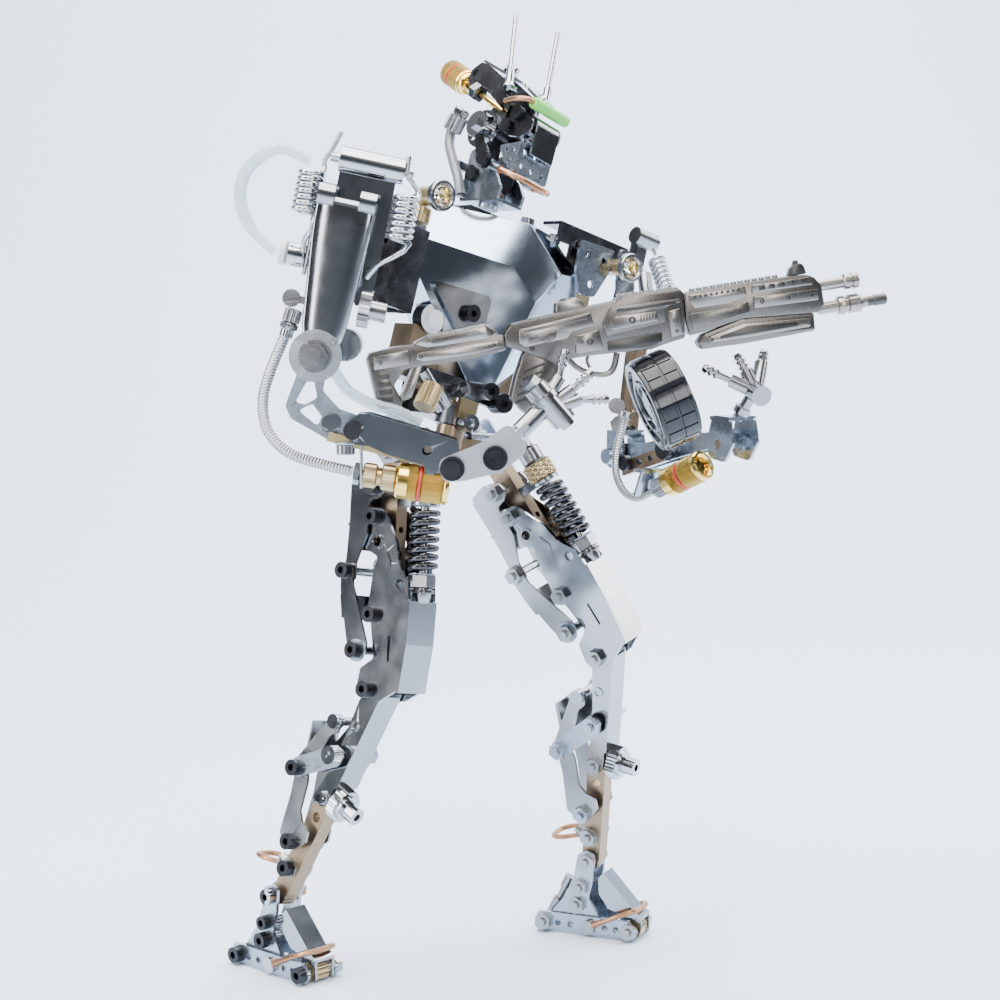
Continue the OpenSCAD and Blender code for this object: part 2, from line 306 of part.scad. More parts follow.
// ================= neck and head =================
module neck_bracket() union() {
  color("lightsteelblue") at(T0) {
    translate([-6, -3, 81.2]) cube([12, 20, 1.2]); cz(79.8, 81.2, 3.6, 0, 8);
    both(4.8, 1.2) slab([[-3, 81.2], [17.5, 81.2], [17.5, 86], [17, 99.6], [12.4, 101.4], [8.6, 97], [0, 90.6], [-3.6, 86]], 1.6, [[12.4, 91]], 1.5);
    cx(-4.8, 4.8, 2.2, 12.4, 91); }
  color("dimgray") at(T0) { cz(82.4, 86.2, 2.6, 0, 4); cz(86.2, 93, 4.2, 0, 4, 6); translate([0, 12.4, 91]) { cx(-7.8, -6, 2.8); cx(6, 7.6, 2.8, 0, 0, 6); } }
  color("silver") at(HD) { ringx(-4.4, 4.4, 3.1, run_r); translate([-3, -1.5, -9]) cube([6, 3, 7]); }
}
module neck_wheel() color("silver") at(HD) {
  difference() { translate([-7.9, -1, -1]) rotate([0, 90, 0]) cylinder(r = 7, h = 1); for (a = [20:60:340]) cx(-9, -6, 1.3, -1 + 4.6 * cos(a), -1 + 4.6 * sin(a)); }
  translate([-10.4, 0, 0]) rotate([0, 90, 0]) knurl(4.9, 2.6, 28); cx(-12.2, -10.3, 2.6, 0, 0, 6);
}
module neck_hose() union() {
  color("gray") at(T0) sweep(smooth([[-9, 13.4, 82.6], [-9.8, 15.6, 88], [-10.4, 20, 94.6], [-10.4, 24.4, 101], [-10.4, 25.2, 106.6]], 4), 1.8, [1, 0, 0]);
  color("dimgray") at(T0) { translate([-10.4, 25, 105.6]) rotate([24, 0, 0]) knurl(3.5, 9, 22); translate([-9.8, 17, 92]) cube([4.2, 3, 3]); translate([-10, 12.6, 82]) cube([4, 4, 2]); }
}
// head frame: X left, Y back, Z up at the nod screw
module head_plates() union() {
  color("dimgray") at(HD) both(5.6, 1.2) slab([[14.6, 18.4], [13.6, 22.6], [9.4, 25.2], [5.4, 24], [-8.6, 15.4], [-11, 9], [-9.6, 2], [-3, -3.6], [3, -3.4], [3.8, 2], [-1.6, 6], [-3.8, 9.4], [0.8, 12.4], [7.6, 16.4], [11.6, 16.2]], 1.6, [[11.1, 21], [-7, 10.3], [0, 0]], 1.5);
  color("silver") at(HD) { cx(-8.2, 8.2, 1.5, 0, 0); cx(-9.4, -6.8, 2.6, 0, 0); cx(6.8, 9, 2.9, 0, 0, 6); cx(-5.6, 5.6, 2, 11.1, 21); cx(-8.4, -6.8, 2.6, -7, 10.3); cx(6.8, 8.8, 2.8, -7, 10.3, 6); }
}
module head_top_plate() union() {
  color("silver") at(HD) { translate([0, 10.4, 26.6]) rotate([24, 0, 0]) translate([-4.6, -24, -0.5]) cube([9.2, 24.6, 1]); translate([0, -11.4, 17]) rotate([34, 0, 0]) translate([-4.6, -11, -0.5]) cube([9.2, 11.6, 1]); }
  color("dimgray") at(HD) translate([1, 2.4, 23]) rotate([24, 0, 0]) { cylinder(r = 3.4, h = 1.6, $fn = 6); cylinder(r = 2.5, h = 3.8); }
}
module head_knob() union() {
  color("goldenrod") at(HD) translate([0, 32.6, 26]) rotate([116, 0, 0]) { knurl(4.8, 11.6, 44); translate([0, 0, 11.6]) cylinder(r = 4.1, h = 1.8); translate([0, 0, 13.4]) cylinder(r = 2.6, h = 8); }
  color("goldenrod") at(HD) translate([-8.2, 4, 11.9]) rotate([117, 0, 0]) { cylinder(r = 1.2, h = 14.6); translate([0, 0, -4]) cylinder(r = 3.2, h = 4, $fn = 6); }
}
module eye_block() union() {
  color("dimgray") at(HD) { translate([-3.6, -18.6, 0]) rotate([0, 90, 0]) difference() { cylinder(r = 5.2, h = 11); translate([0, 0, -1]) cylinder(r = 4.2, h = 13); translate([-2, 0, -1]) cube([12, 12, 13]); }
    translate([-3.6, -23.8, -9.6]) cube([11, 1, 9.8]); cx(7.4, 8.8, 4.6, -18.6, 0.6); cx(-5.6, 7.4, 1.5, -18.6, 0.6); }
  // zinc bracket between the head plates and the eye
  color("lightsteelblue") at(HD) { both(4.4, 1.1) slab([[-9, 9], [-13, 7], [-22, 3], [-22.4, -2], [-18, -4], [-12, -3], [-8, 2]], 1.4, [[-11.5, 0.1], [-18.6, 0.6]], 1.5); }
  color("dimgray") at(HD) { cx(-8, -5.5, 2.5, -15.8, 4.4); cx(-7.8, -5.5, 2.5, -11.5, 0.1); cx(-5.5, 5.5, 1.5, -11.5, 0.1); }
}
module face_plate() color("lightsteelblue") at(HD) translate([0.8, -21.6, -6.4]) {
  pxz(0, 1) slab([[-8, 0], [8.4, 0.6], [8.4, -10.4], [-8, -11]], 0.8, [for (x = [-5, 0.2, 5.4], z = [-2.8, -8]) [x, z]], 1);
  pyz(-8, 1) slab([[0, 0], [0, -11], [6, -7.6], [10.6, -1]], 0.8, [[3, -2.6], [7, -2.6], [3, -7]], 1);
  pyz(7.4, 1) slab([[0, 0.4], [0, -10.4], [6, -7.6], [10.6, -1]], 0.8);
}
module jaw_loop() union() {
  color("sienna") at(HD) sweep(smooth([[-8, -15, -16.6], [-7.6, -20, -18.4], [-5.6, -24, -19.6], [-1, -25.6, -20.2], [3.6, -25.8, -20.2], [8, -24.6, -19.6], [10, -21, -18.6], [9.8, -15, -16.6]], 3), 1.05, [0, 0.4, 1]);
  color("silver") at(HD) { for (s = [-8, 9.8]) translate([s, -15.6, -16.8]) rotate([-72, 0, 0]) cylinder(r = 1.5, h = 5); both(8, 1.1) slab([[-3, -3], [1.4, -1], [-2, -10], [-8, -17], [-11.6, -16], [-8, -10]], 1.2, [[-8.6, -13.4]], 1.5); for (s = [-1, 1]) cx(s > 0 ? 6.7 : -8.2, s > 0 ? 8.2 : -6.7, 1.6, -1.4, -3.2); }
  color("dimgray") at(HD) { cx(-11.6, -9, 2.6, -8.6, -13.4); cx(-9.1, -8, 1.5, -8.6, -13.4); cx(9, 11, 2.6, -8.6, -13.4, 6); cx(8, 9.1, 1.5, -8.6, -13.4); }
}
module visor_tube() union() {
  color("limegreen") at(HD) cx(-7, 10.6, 2.1, -22, 8);
  color("sienna") at(HD) { cx(-11, -7, 1, -22, 8); cx(10.6, 11.4, 1, -22, 8); cy(-22, -8, 1.3, -9.4, 8); }
}
module antenna(x, y, tilt) at(HD) translate([x, y, 14.7]) rotate([-tilt, 0, 0]) { color("silver") { cylinder(r = 0.95, h = 27, $fn = 20); cylinder(r = 1.5, h = 5.5, $fn = 20); translate([0, 0, -1]) cylinder(r1 = 2.2, r2 = 1.5, h = 2, $fn = 20); translate([x < 0 ? 0 : -3, -1, -2]) cube([3, 2, 2]); } }
module antenna_right() antenna(-8.2, -9.1, 12.3);
module antenna_left() antenna(7.4, -12.6, 6);

// ================= right arm =================
module shoulder_frame_right() union() {
  color("slategray") at(ER) {
    pxz(-3.6, 1.2) slab([[-4.6, 22], [13.4, 22], [13.4, 60], [-4.6, 60]], 2, [[0, 30], [9, 30]], 1.6);
    both(9, 1) slab([[-3.6, 24], [6, 24], [9, 34], [7, 56], [-2, 60], [-3.6, 56]], 2, [[2, 40], [2, 30]], 1.6);
    translate([-4, -3.6, -3]) cube([8, 1.8, 28]);
    translate([-9.5, 6, 26]) cube([19, 1, 28]);
  }
  color("silver") at(ER) { cx(-5, 15.5, 4.1, -4, 62); cx(-8, 18.5, 1.5, -4, 62); }
}
module shoulder_cover_right() color("silver") at(ER) difference() {
  union() { pxz(-9.6, 1.2) slab([[-9, 50], [9, 50], [9, 40], [7.6, 6], [5, -1], [-3, -1], [-6, 6], [-9, 40]], 2);
    both(8, 1.2) polygon([[-9.4, 50], [-2, 47], [-2, 28], [-9.4, 24]]); }
  for (s = [-1, 1]) translate([s * 5.6, -12, 42]) cube([2, 6, 10]);
}
module shoulder_springs_right() color("silver") at(ER) {
  translate([-13, -5.5, 42]) wire(concat(smooth([[2.6, 1, -11], [2, 0.4, -7.5], [3.4, -1.6, -4], [3.6, -1.2, -1.4]], 3), helix(3.4, 0.8, 15, 7), smooth([[3.6, 1.4, 16], [3.2, 1, 18.4], [4.4, 0.9, 21], [5.6, 1, 24.5], [6.6, 1.2, 28]], 3)), 0.8, [0, 1, 0]);
  translate([18, -7, 39.5]) wire(concat(smooth([[-7.6, 2, -12.5], [-5, 1, -8], [-0.6, -1.4, -4.4], [2.6, -1.8, -1.6]], 3), helix(3.6, 0.8, 16, 7), smooth([[3.4, 1.4, 17], [1, 1, 19.4], [-1.4, 0.8, 22], [-2, 1, 27.5]], 3)), 0.8, [0, 1, 0]);
}
module elbow_washer_right() union() {
  color("lightsteelblue") at(VR) { ringy(-11.4, -9.9, 8.3, 4.2); }
  color("silver") at(VR) { cy(-12.6, -11.4, 5.2); translate([0, -11.4, 0]) rotate([90, 0, 0]) nutz(4, 7.4); cy(-16.6, -2, 2.3); cy(-9.9, -6, 3.2); 
    for (i = [0:4]) cy(0.5 + i * 2.2, 2.1 + i * 2.2, 5.2, 8.6, 3); cy(0, 12, 4.2, 8.6, 3); }
  color("silver") at(ER) { translate([10, -2, 17.3]) rotate([0, 90, 0]) { knurl(6, 3.6, 26); cylinder(r = 3.2, h = 8.6); } translate([-12, 4, 15.8]) rotate([90, 0, 0]) cylinder(r = 2.9, h = 3); translate([-12, 1.6, 14.6]) cube([9, 2, 2.4]); }
}
module air_tube_right() union() {
  color("aliceblue") at(VR) sweep(smooth([[-2, 0, 61], [-12, 0, 65], [-21.6, 0, 58.6], [-24.2, 0, 49.8], [-21.2, 0, 40.2], [-13.6, 0, 32.6]], 5), 2, [0, 1, 0]);
  color("aliceblue") at(VR) sweep(smooth([[4.8, 6, -5.5], [8.6, 6, -11.3], [16.6, 6, -16.1], [24.6, 6, -18.4], [32.6, 6, -22.5]], 5), 1.9, [0, 1, 0]);
  color("white") at(ER) cx(-18.4, -16.4, 4.1, 0, 29.5); color("silver") at(ER) cx(-16.4, -9.8, 3.9, 0, 29.5);
}
module forearm_bracket_right() color("slategray") at(VR) pxz(-5, 1.4) difference() {
  polygon(rp([[-4, 4], [4, 4], [3, -6], [1.8, -11.2], [7, -17], [14, -19.5], [12, -26.5], [4.4, -27.5], [-8.6, -20], [-10.2, -16], [-6, -5]], 2));
  holes([[0, 0]], 2.36); holes([[4.4, -21.6]], 1.5);
  polygon(rp([[-1, -8], [-3.4, -8.6], [-7, -15], [-3.6, -15.6], [0, -13.4]], 0.8)); polygon(rp([[-6, -17.6], [-1.6, -15.4], [1.4, -19.4], [0, -22.4]], 0.8));
}
chan = [[9.4, -21], [13.6, -18.2], [17, -18.2], [44.4, -26.6], [45, -31], [40.4, -33], [41.6, -39.6], [38.4, -42.4], [34.6, -40.4], [34.2, -34.6], [22, -31], [16.6, -28.4], [12, -28], [9, -25]];
module forearm_channel_right() union() {
  color("silver") at(VR) { pxz(-10.4, 1) difference() { polygon(rp(chan, 1.4)); holes([[11.6, -23.4], [43, -35.3]], 1.5); holes([[34.9, -29.8], [38.2, -38.6]], 1.6); }
    pxz(-1.4, 1) difference() { polygon(rp(chan, 1.4)); holes([[11.6, -23.4]], 1.5); holes([[34.9, -29.8]], 1.6); }
    translate([14, -10.4, -19.2]) rotate([0, 17, 0]) cube([30.5, 10, 1]); }
  color("darkgoldenrod") at(VR) pxz(-7.6, 2.4) polygon([[4, -24], [34, -33.2], [33.6, -35], [3, -27]]);
  color("dimgray") at(VR) { cy(-13, -10.4, 2.9, 11.6, -23.4); cy(-10.4, 2, 1.5, 11.6, -23.4); cy(-7.2, -5, 3, 4.4, -21.6); cy(-5, 1, 1.5, 4.4, -21.6); cy(-14, -12.4, 3.9, 43, -35.3); cy(-15.6, -14, 2.6, 43, -35.3); cy(-12.4, -3, 1.5, 43, -35.3); cy(-14, -12.4, 3.9, 56.5, -32); cy(-15.6, -14, 2.6, 56.5, -32); cy(-12.4, -7, 1.5, 56.5, -32); }
  // white zinc wrist link
  color("white") at(VR) { pxz(-12.4, 1.8) slab([[38.4, -33], [40, -39.6], [46, -39.4], [58, -36.8], [65.6, -31], [66.6, -28], [60.6, -21], [53.6, -26.6]], 2.4, [[43, -35.3], [56.5, -32]], 1.5); translate([60.4, -12.4, -27]) rotate([0, 45, 0]) cube([1.6, 10, 8]); }
}
module forearm_knob_right() union() {
  color("gold") at(VR) translate([25, -6, -39.6]) rotate([0, 98, 0]) difference() { knurl(5.8, 17, 44); translate([0, 0, 12]) cylinder(r = 3.4, h = 6); }
  color("darkgoldenrod") at(VR) translate([14.4, -6, -37.8]) rotate([0, 98, 0]) { knurl(4, 4.6, 18); translate([0, 0, 4.6]) cylinder(r = 3, h = 1.4); translate([0, 0, 6]) knurl(4.2, 4.7, 18); }
  color("lightgray") at(VR) { translate([11.4, -8.4, -37.4]) rotate([0, 98, 0]) translate([0, 2.4, 0]) cylinder(r = 3.6, h = 2.2, $fn = 6); translate([13.6, -9, -42]) cube([0.8, 6.4, 14.6]); translate([6, -9, -28.2]) cube([8.4, 6.4, 0.8]); cz(-31.4, -28.2, 3, 9, -6); }
}
module forearm_hose_right() union() {
  color("silver") at(VR) sweep(smooth([[-9.6, -4.2, 7], [-14.7, -4, -4.8], [-17.3, -4, -14.5], [-15.8, -4, -24.2], [-9, -4.5, -31.2], [2.2, -5.6, -34.8], [11, -6, -36.8]], 4), 1.75, [0, 1, 0]);
  color("lightgray") at(VR) translate([-7, -4.6, 14.6]) rotate([0, 198, 0]) knurl(2.9, 8, 16);
}
module hand_right() color("silver") union() {
  rod([-42.8, -46.4, 183.6], [-37.8, -48.7, 188.8], 2.2); rod([-39.4, -48, 187.2], [-31.6, -50.2, 194], 3.1);
  rod([-33.6, -49, 202], [-25, -54.6, 190.4], 4.1); rod([-31.4, -50.4, 198.9], [-30.3, -51.1, 197.4], 5.2);
  rod([-35.4, -48.1, 203.6], [-33.4, -49.2, 201.9], 3.1, -1, 6); rod([-25.4, -54.4, 190.9], [-24, -55.4, 189], 2.4);
  rod([-29.6, -52, 199.6], [-25.9, -53, 204.6], 2.2); barb([-26.4, -52.8, 203.4], [-24.3, -54, 213]);
  rod([-28, -53, 196.6], [-23.2, -56.6, 200.8], 2.2); barb([-23.6, -56.2, 200.4], [-18.9, -60.2, 206]);
  rod([-27.4, -53.4, 195], [-21.6, -58, 197.6], 2.2); barb([-22, -57.6, 197.4], [-14.6, -63.6, 197.6]);
}
// rods and fittings between two points given in the figure's own coordinates
module rod(a, b, r, r2 = -1, n = 24) at(f_from(a + sh, b - a, [0.3, 0.9, 0.1])) cylinder(r1 = r, r2 = r2 < 0 ? r : r2, h = norm(b - a), $fn = n);
module barb(a, b) at(f_from(a + sh, b - a, [0.3, 0.9, 0.1])) let (l = norm(b - a)) { cylinder(r = 1.15, h = l); translate([0, 0, l - 5]) cylinder(r = 1.75, h = 1.1); translate([0, 0, l - 3]) cylinder(r = 1.75, h = 1.1); translate([0, 0, l - 1]) cylinder(r1 = 1.75, r2 = 1.2, h = 1.6); }
// ================= rifle: X along the barrel, Z up =================
module gpl(P, r = 0.8, t = gun_t, H = []) pxz(-t / 2, t) slab(P, r, H);
module rifle_body() color("gray") at(GF) {
  gpl([[-18.2, 6.7], [-15.3, 9.6], [-1.3, 10.6], [19.9, 11.6], [22.6, 13.4], [42.2, 12.2], [43.2, 10.4], [42.2, 1], [41.6, -4.4], [34.1, -5.4], [29.6, -6.2], [21.2, -5.8], [18.6, -6], [15.8, -12], [11.8, -12.2], [10.6, -9.4], [7.4, -5.4], [0.7, -4.9], [-7.2, -16.3], [-10.6, -20.7], [-15.6, -20.2], [-19.4, -14.2], [-16.6, -7.4], [-12.8, -0.1], [-18.4, 2.8]], 0.8, gun_t, [[14.6, -8.6]]);
  gpl([[-0.4, 10], [0.4, 14], [7.4, 14.8], [9.4, 12.9], [10.4, 10]], 0.6, 4.6);
  for (s = [-1, 1]) { pxz(s > 0 ? gun_t / 2 - 0.1 : -gun_t / 2 - 0.9, 1) polygon(rp([[-14, 3], [-13.4, 7.8], [11, 9.6], [11.6, 4.6], [4, 3.6], [2, 1.6], [-12, 1]], 0.6)); pxz(s > 0 ? gun_t / 2 - 0.1 : -gun_t / 2 - 0.9, 1) polygon(rp([[15, 0.6], [14.6, 5.4], [18, 10.2], [41.6, 9], [41.8, 7.6], [36.4, 6.8], [35.6, 2]], 1)); }
}
module rifle_stock() color("gray") at(GF) {
  gpl([[-18.2, 6.2], [-23.6, 7.8], [-39.5, 8.6], [-48.2, 8.1], [-54.1, 8.4], [-62.7, 7.8], [-64.1, 5.8], [-62.9, -11.1], [-55.6, -11.4], [-54.6, -9.4], [-56.6, -4], [-52.6, 0.6], [-46.6, 0.8], [-30.8, 0.3], [-18.4, 1.5]], 0.8, 5.4);
  gpl([[-46, 1.4], [-51.6, -8.8], [-54.8, -9.6], [-55.2, -8], [-49.4, 1.4]], 0.5, 4.4);
  gpl([[-20, 7.4], [-24, 11], [-43, 10.4], [-49, 8.4], [-44, 6.4], [-24, 5.8]], 0.6, 7);
}
module rifle_barrel() color("gray") at(GF) {
  gpl([[43.3, 10.4], [53, 10.8], [80.7, 10.6], [82.4, 12.8], [86, 13.4], [86.3, 10.5], [88.4, 8.8], [90.4, 5.6], [90.6, -3], [89.2, -5.2], [86.3, -9.7], [77.2, -9.5], [61.4, -9.6], [46.6, -9.2], [44.9, -6.2], [43.3, -4.6], [42.8, 0.8]], 0.8);
  gpl([[48, -4.4], [62, -1.2], [86.6, -3.4], [85.4, -8.8], [61.6, -9], [47.6, -8.4]], 0.8, 8.6);
  for (s = [-1, 1]) pxz(s > 0 ? gun_t / 2 - 0.1 : -gun_t / 2 - 0.9, 1) polygon(rp([[66, 1.6], [66.4, 5.8], [89, 4.4], [88.6, 0.8]], 0.5));
  cx(90, 105, 2, 0, 5.2); cx(99, 104, 2.7, 0, 5.2); cx(90, 106, 2.1, 0, -2.4); cx(96, 104, 3.2, 0, -2.4); cx(106, 113, 1.7, 0, -2.6);
}
module rifle_drum() color("#101014") at(GF) translate([31.6, -1, -23.6]) rotate([0, 90 - 14, 0]) translate([0, 0, -drum_l / 2]) {
  difference() { linear_extrude(drum_l) teeth(drum_r, 24, 0.5); translate([0, 0, -1]) ring(drum_r - 1.6, drum_r - 3.2, 1.6); translate([0, 0, -1]) ring(drum_r - 7, drum_r - 8.4, 1.6); }
}

// ================= left arm =================
module shoulder_frame_left() color("silver") union() {
  at(T0) { ringx(60.2, 70.4, 3.2, run_r, 4, 79); translate([63, -3, 80]) cube([5, 4, 9]); cx(60.4, 70.6, 3.2, -3, 89.6); translate([64, 2, 60]) cube([4, 3, 17]); }
  rod([66.6, -8, 237], [62.4, -13, 229], 2.6);
}
module shoulder_springs_left() color("silver") at(f_from([61.6, -23.4, 231] + sh, [3, 9.4, 15], [1, 0, 0])) wire(concat(smooth([[0.4, -0.6, -4], [1.4, -1.4, -2.6], [2.6, -1.2, -0.8]], 3), helix(2.6, 0.75, 15, 7), smooth([[2.6, 1.2, 15.8], [1.6, 1, 17.6], [0.4, 0.4, 19]], 3)), 0.75, [0, 1, 0]);
module arm_bars_left() union() {
  color("darkgoldenrod") at(f_from([45.6, -19.6, 179.6] + sh, [15, 6, 50], [0.99, -0.14, 0])) { difference() { translate([-2.4, -1.6, 0]) cube([4.8, 3.2, 52]); for (z = [3:6.2:48]) cy(-9, 9, 1.2, 0, z); } translate([-6.6, -3, 6]) cube([3, 2.4, 24]); translate([-5, -1.4, 8]) cube([4, 1.6, 20]); }
  color("silver") { rod([36.6, -21.4, 191.4], [43, -17, 190.6], 2.8); rod([37.6, -21.4, 184.8], [45, -17, 184.2], 3, -1, 6); }
  // elbow clevis
  color("silver") at(VF) { for (y = [-5.4, 4.2]) pxz(y, 1.2) slab([[-4.4, -4.4], [4.4, -4.4], [4.4, 4], [3.4, 9], [-4.4, 9]], 2, [[0, 0]], 1.5); translate([-4.4, -5.4, 7.8]) cube([7.8, 10.8, 1.2]); cy(-7, 8, 1.5); cy(-9.6, -5.4, 2.75); cy(5.4, 7.7, 3, 0, 0, 6); }
}
module forearm_bracket_left() union() {
  color("slategray") at(VF) difference() { union() { pxz(-3.6, 1.2) polygon(rp(dk, 1.6)); pxz(2.4, 1.2) polygon(rp(dk, 1.6)); translate([12, -3.6, 4.2]) rotate([0, -9, 0]) cube([26, 7.2, 1]); } cy(-9, 9, run_r); }
  color("tan") at(VF) difference() { translate([7, -7.6, -6.6]) rotate([0, -17, 0]) cube([24, 2.6, 5]); for (i = [1:4]) cy(-9, -4, 1.1, 5 + i * 5.6, -4.4 + i * 1.7); }
  color("silver") at(VF) { cy(-7.8, 3.6, 1.5, 30, 5); cy(-9.4, -7.6, 3.6, 30, 4.6); cy(-7.8, 3.6, 1.5, 10, -1.6); cy(-10, -7.6, 2.7, 10, -1.6); cy(-6, 3.6, 1.5, 54.6, 7.6); }
}
module forearm_knob_left() union() {
  color("gold") at(f_from([30.7, -50.9, 166.4] + sh, [0, -16.2, 7.4], [1, 0, 0])) { difference() { knurl(5.2, 17.4, 44); translate([0, 0, 11]) cylinder(r = 3.2, h = 8); } }
  color("darkgoldenrod") at(f_from([30.6, -45.4, 163.8] + sh, [0, -6, 2.8], [1, 0, 0])) knurl(3.4, 6.6, 20);
  color("lightsteelblue") { at(VF) translate([22.4, -16, -11.6]) rotate([0, 24, 0]) cube([1.2, 9, 9.6]); at(VF) translate([23, -16, -3.6]) cube([6, 9, 1.2]); }
}
module forearm_hose_left() color("gray") translate(sh) sweep(smooth([[37.6, -24.6, 187], [35.2, -25, 182], [32.4, -25.4, 175], [30.2, -27.4, 167.9], [28.9, -32.3, 162.2], [28.9, -38.3, 160.4], [30, -43.5, 162.6], [30.4, -45.6, 163.8]], 4), 1.35, [1, 0, 0]);
module hand_left() color("silver") union() {
  // U bracket turning on the wrist bolt
  at(VF) difference() { union() { for (y = [-6.2, 5]) pxz(y, 1.2) slab([[50, 3], [58, 1.6], [62, 8], [60, 17], [52, 17.4], [49.6, 10]], 2); translate([50.6, -6.2, 15.6]) cube([9.4, 12.4, 1.4]); } cy(-9, 9, run_r, 54.6, 7.6); }
  rod([37, -76, 189.4], [38, -80.4, 196.6], 2); rod([37.2, -77, 191.4], [37.5, -78.2, 193.4], 2.9);
  rod([35.4, -87.4, 197.4], [39.6, -80, 199.6], 3.5);
  rod([38.3, -82.4, 198.6], [32.9, -75.8, 202.4], 2.3); barb([33.4, -76.4, 202], [26.4, -70, 206.6]);
  rod([38.2, -82, 199.6], [37.9, -78.6, 205.4], 2.3); barb([38, -79, 204.6], [37.2, -75.4, 210.4]);
  rod([39.2, -82.4, 200], [43.6, -80.6, 208], 2.4); barb([43.2, -80.8, 207], [46.4, -79.4, 211.6]);
}
// ================= placed nodes =================
module leg_r(f) at(f) children();
module leg_l(f) at(f) mirror([1, 0, 0]) children();
module thigh_shell_right() leg_r(TR) thigh_shell();
module thigh_links_right() leg_r(TR) thigh_links();
module thigh_spring_right() leg_r(TR) thigh_spring();
module thigh_bar_right() leg_r(TR) thigh_bar();
module shin_channel_right() leg_r(SR) shin_channel();
module shin_links_right() leg_r(SR) shin_links();
module shin_bar_right() leg_r(SR) shin_bar(ank_dir_r);
module foot_frame_right() leg_r(FR) foot_frame();
module foot_cover_right() leg_r(FR) foot_cover();
module thigh_shell_left() leg_l(TL) thigh_shell();
module thigh_links_left() leg_l(TL) thigh_links();
module thigh_spring_left() leg_l(TL) thigh_spring();
module thigh_bar_left() leg_l(TL) thigh_bar();
module shin_channel_left() leg_l(SL) shin_channel();
module shin_links_left() leg_l(SL) shin_links();
module shin_bar_left() leg_l(SL) shin_bar(ank_dir_l);
module foot_frame_left() leg_l(FL) foot_frame();
module foot_cover_left() leg_l(FL) foot_cover();

pelvis_block();
pelvis_frame();
torso_frame();
chest_shell();
chest_panel();
shoulder_channels();
shoulder_lamps();
torso_connectors();
torso_screws();
neck_bracket();
neck_wheel();
neck_hose();
head_plates();
head_top_plate();
head_knob();
eye_block();
face_plate();
jaw_loop();
visor_tube();
antenna_right();
antenna_left();
shoulder_frame_right();
shoulder_cover_right();
shoulder_springs_right();
elbow_washer_right();
air_tube_right();
forearm_bracket_right();
forearm_channel_right();
forearm_knob_right();
forearm_hose_right();
hand_right();
rifle_body();
rifle_stock();
rifle_barrel();
rifle_drum();
shoulder_frame_left();
shoulder_springs_left();
arm_bars_left();
forearm_bracket_left();
forearm_knob_left();
forearm_hose_left();
hand_left();
thigh_shell_right();
thigh_links_right();
thigh_spring_right();
thigh_bar_right();
shin_channel_right();
shin_links_right();
shin_bar_right();
foot_frame_right();
foot_cover_right();
thigh_shell_left();
thigh_links_left();
thigh_spring_left();
thigh_bar_left();
shin_channel_left();
shin_links_left();
shin_bar_left();
foot_frame_left();
foot_cover_left();
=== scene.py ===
import bpy, math
from mathutils import Vector, Matrix, noise


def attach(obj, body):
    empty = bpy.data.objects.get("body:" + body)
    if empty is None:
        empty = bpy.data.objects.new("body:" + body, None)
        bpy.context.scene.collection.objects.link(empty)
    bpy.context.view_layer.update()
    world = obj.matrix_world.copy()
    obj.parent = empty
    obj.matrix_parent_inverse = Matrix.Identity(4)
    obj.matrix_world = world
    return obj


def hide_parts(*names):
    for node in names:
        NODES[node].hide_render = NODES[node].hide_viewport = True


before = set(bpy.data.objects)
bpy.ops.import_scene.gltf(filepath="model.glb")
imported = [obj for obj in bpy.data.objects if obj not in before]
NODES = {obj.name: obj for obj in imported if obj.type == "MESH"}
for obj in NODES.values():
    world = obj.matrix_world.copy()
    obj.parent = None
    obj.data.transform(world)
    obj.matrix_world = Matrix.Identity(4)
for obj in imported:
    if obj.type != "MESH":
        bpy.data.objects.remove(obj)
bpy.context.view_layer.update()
MM = 0.001
SH = Vector((13.4, 28.8, 0.0))
V = lambda *a: Vector(a)


# ---------------- frames, the same as the CAD's ----------------
def perp(v, n): return v - n * v.dot(n)
def f_from(o, z, s):
    z = Vector(z).normalized(); x = perp(Vector(s), z).normalized()
    return (Vector(o), x, z.cross(x), z)
def f_roll(o, phi, psi):
    f, p = math.radians(phi), math.radians(psi)
    L = V(math.cos(f) * math.cos(p), math.cos(f) * math.sin(p), -math.sin(f)); B = V(-math.sin(p), math.cos(p), 0)
    return (Vector(o), L, B, L.cross(B))
def loc(f, p): return f[0] + f[1] * p[0] + f[2] * p[1] + f[3] * p[2]
def mir(f): return (f[0], -f[1], f[2], f[3])
def sub(f, o, rx=0, ry=0, rz=0):
    """frame inside a frame: moved to o, then turned about x, y, z like rotate([rx, ry, rz])"""
    R = Matrix.Rotation(math.radians(rz), 3, 'Z') @ Matrix.Rotation(math.radians(ry), 3, 'Y') @ Matrix.Rotation(math.radians(rx), 3, 'X')
    M = Matrix((f[1], f[2], f[3])).transposed() @ R
    return (loc(f, o), M.col[0].copy(), M.col[1].copy(), M.col[2].copy())


TH, SHN, AH = 67.5, 81.4, 27.0
hip_r, hip_l = V(-47, 5, 166) + SH, V(5, 2, 163) + SH
foot_r, foot_l = V(-73.9, 31, 0) + SH, V(33.5, -13.8, 0) + SH
def knee(h, a, k0):
    d = (a - h).length; u = (a - h).normalized(); q = (TH ** 2 - SHN ** 2 + d * d) / (2 * d)
    return h + u * q + perp(k0 - h, u).normalized() * math.sqrt(TH ** 2 - q * q)
ank_r, ank_l = foot_r + V(0, 0, AH), foot_l + V(0, 0, AH)
knee_r = knee(hip_r, ank_r, V(-58.1, -1.5, 100.1) + SH); knee_l = knee(hip_l, ank_l, V(22.9, -30.3, 105.9) + SH)
n_r = (knee_r - hip_r).cross(ank_r - knee_r).normalized(); n_l = (knee_l - hip_l).cross(ank_l - knee_l).normalized()
TR, TL = f_from(hip_r, hip_r - knee_r, n_r), mir(f_from(hip_l, hip_l - knee_l, n_l))
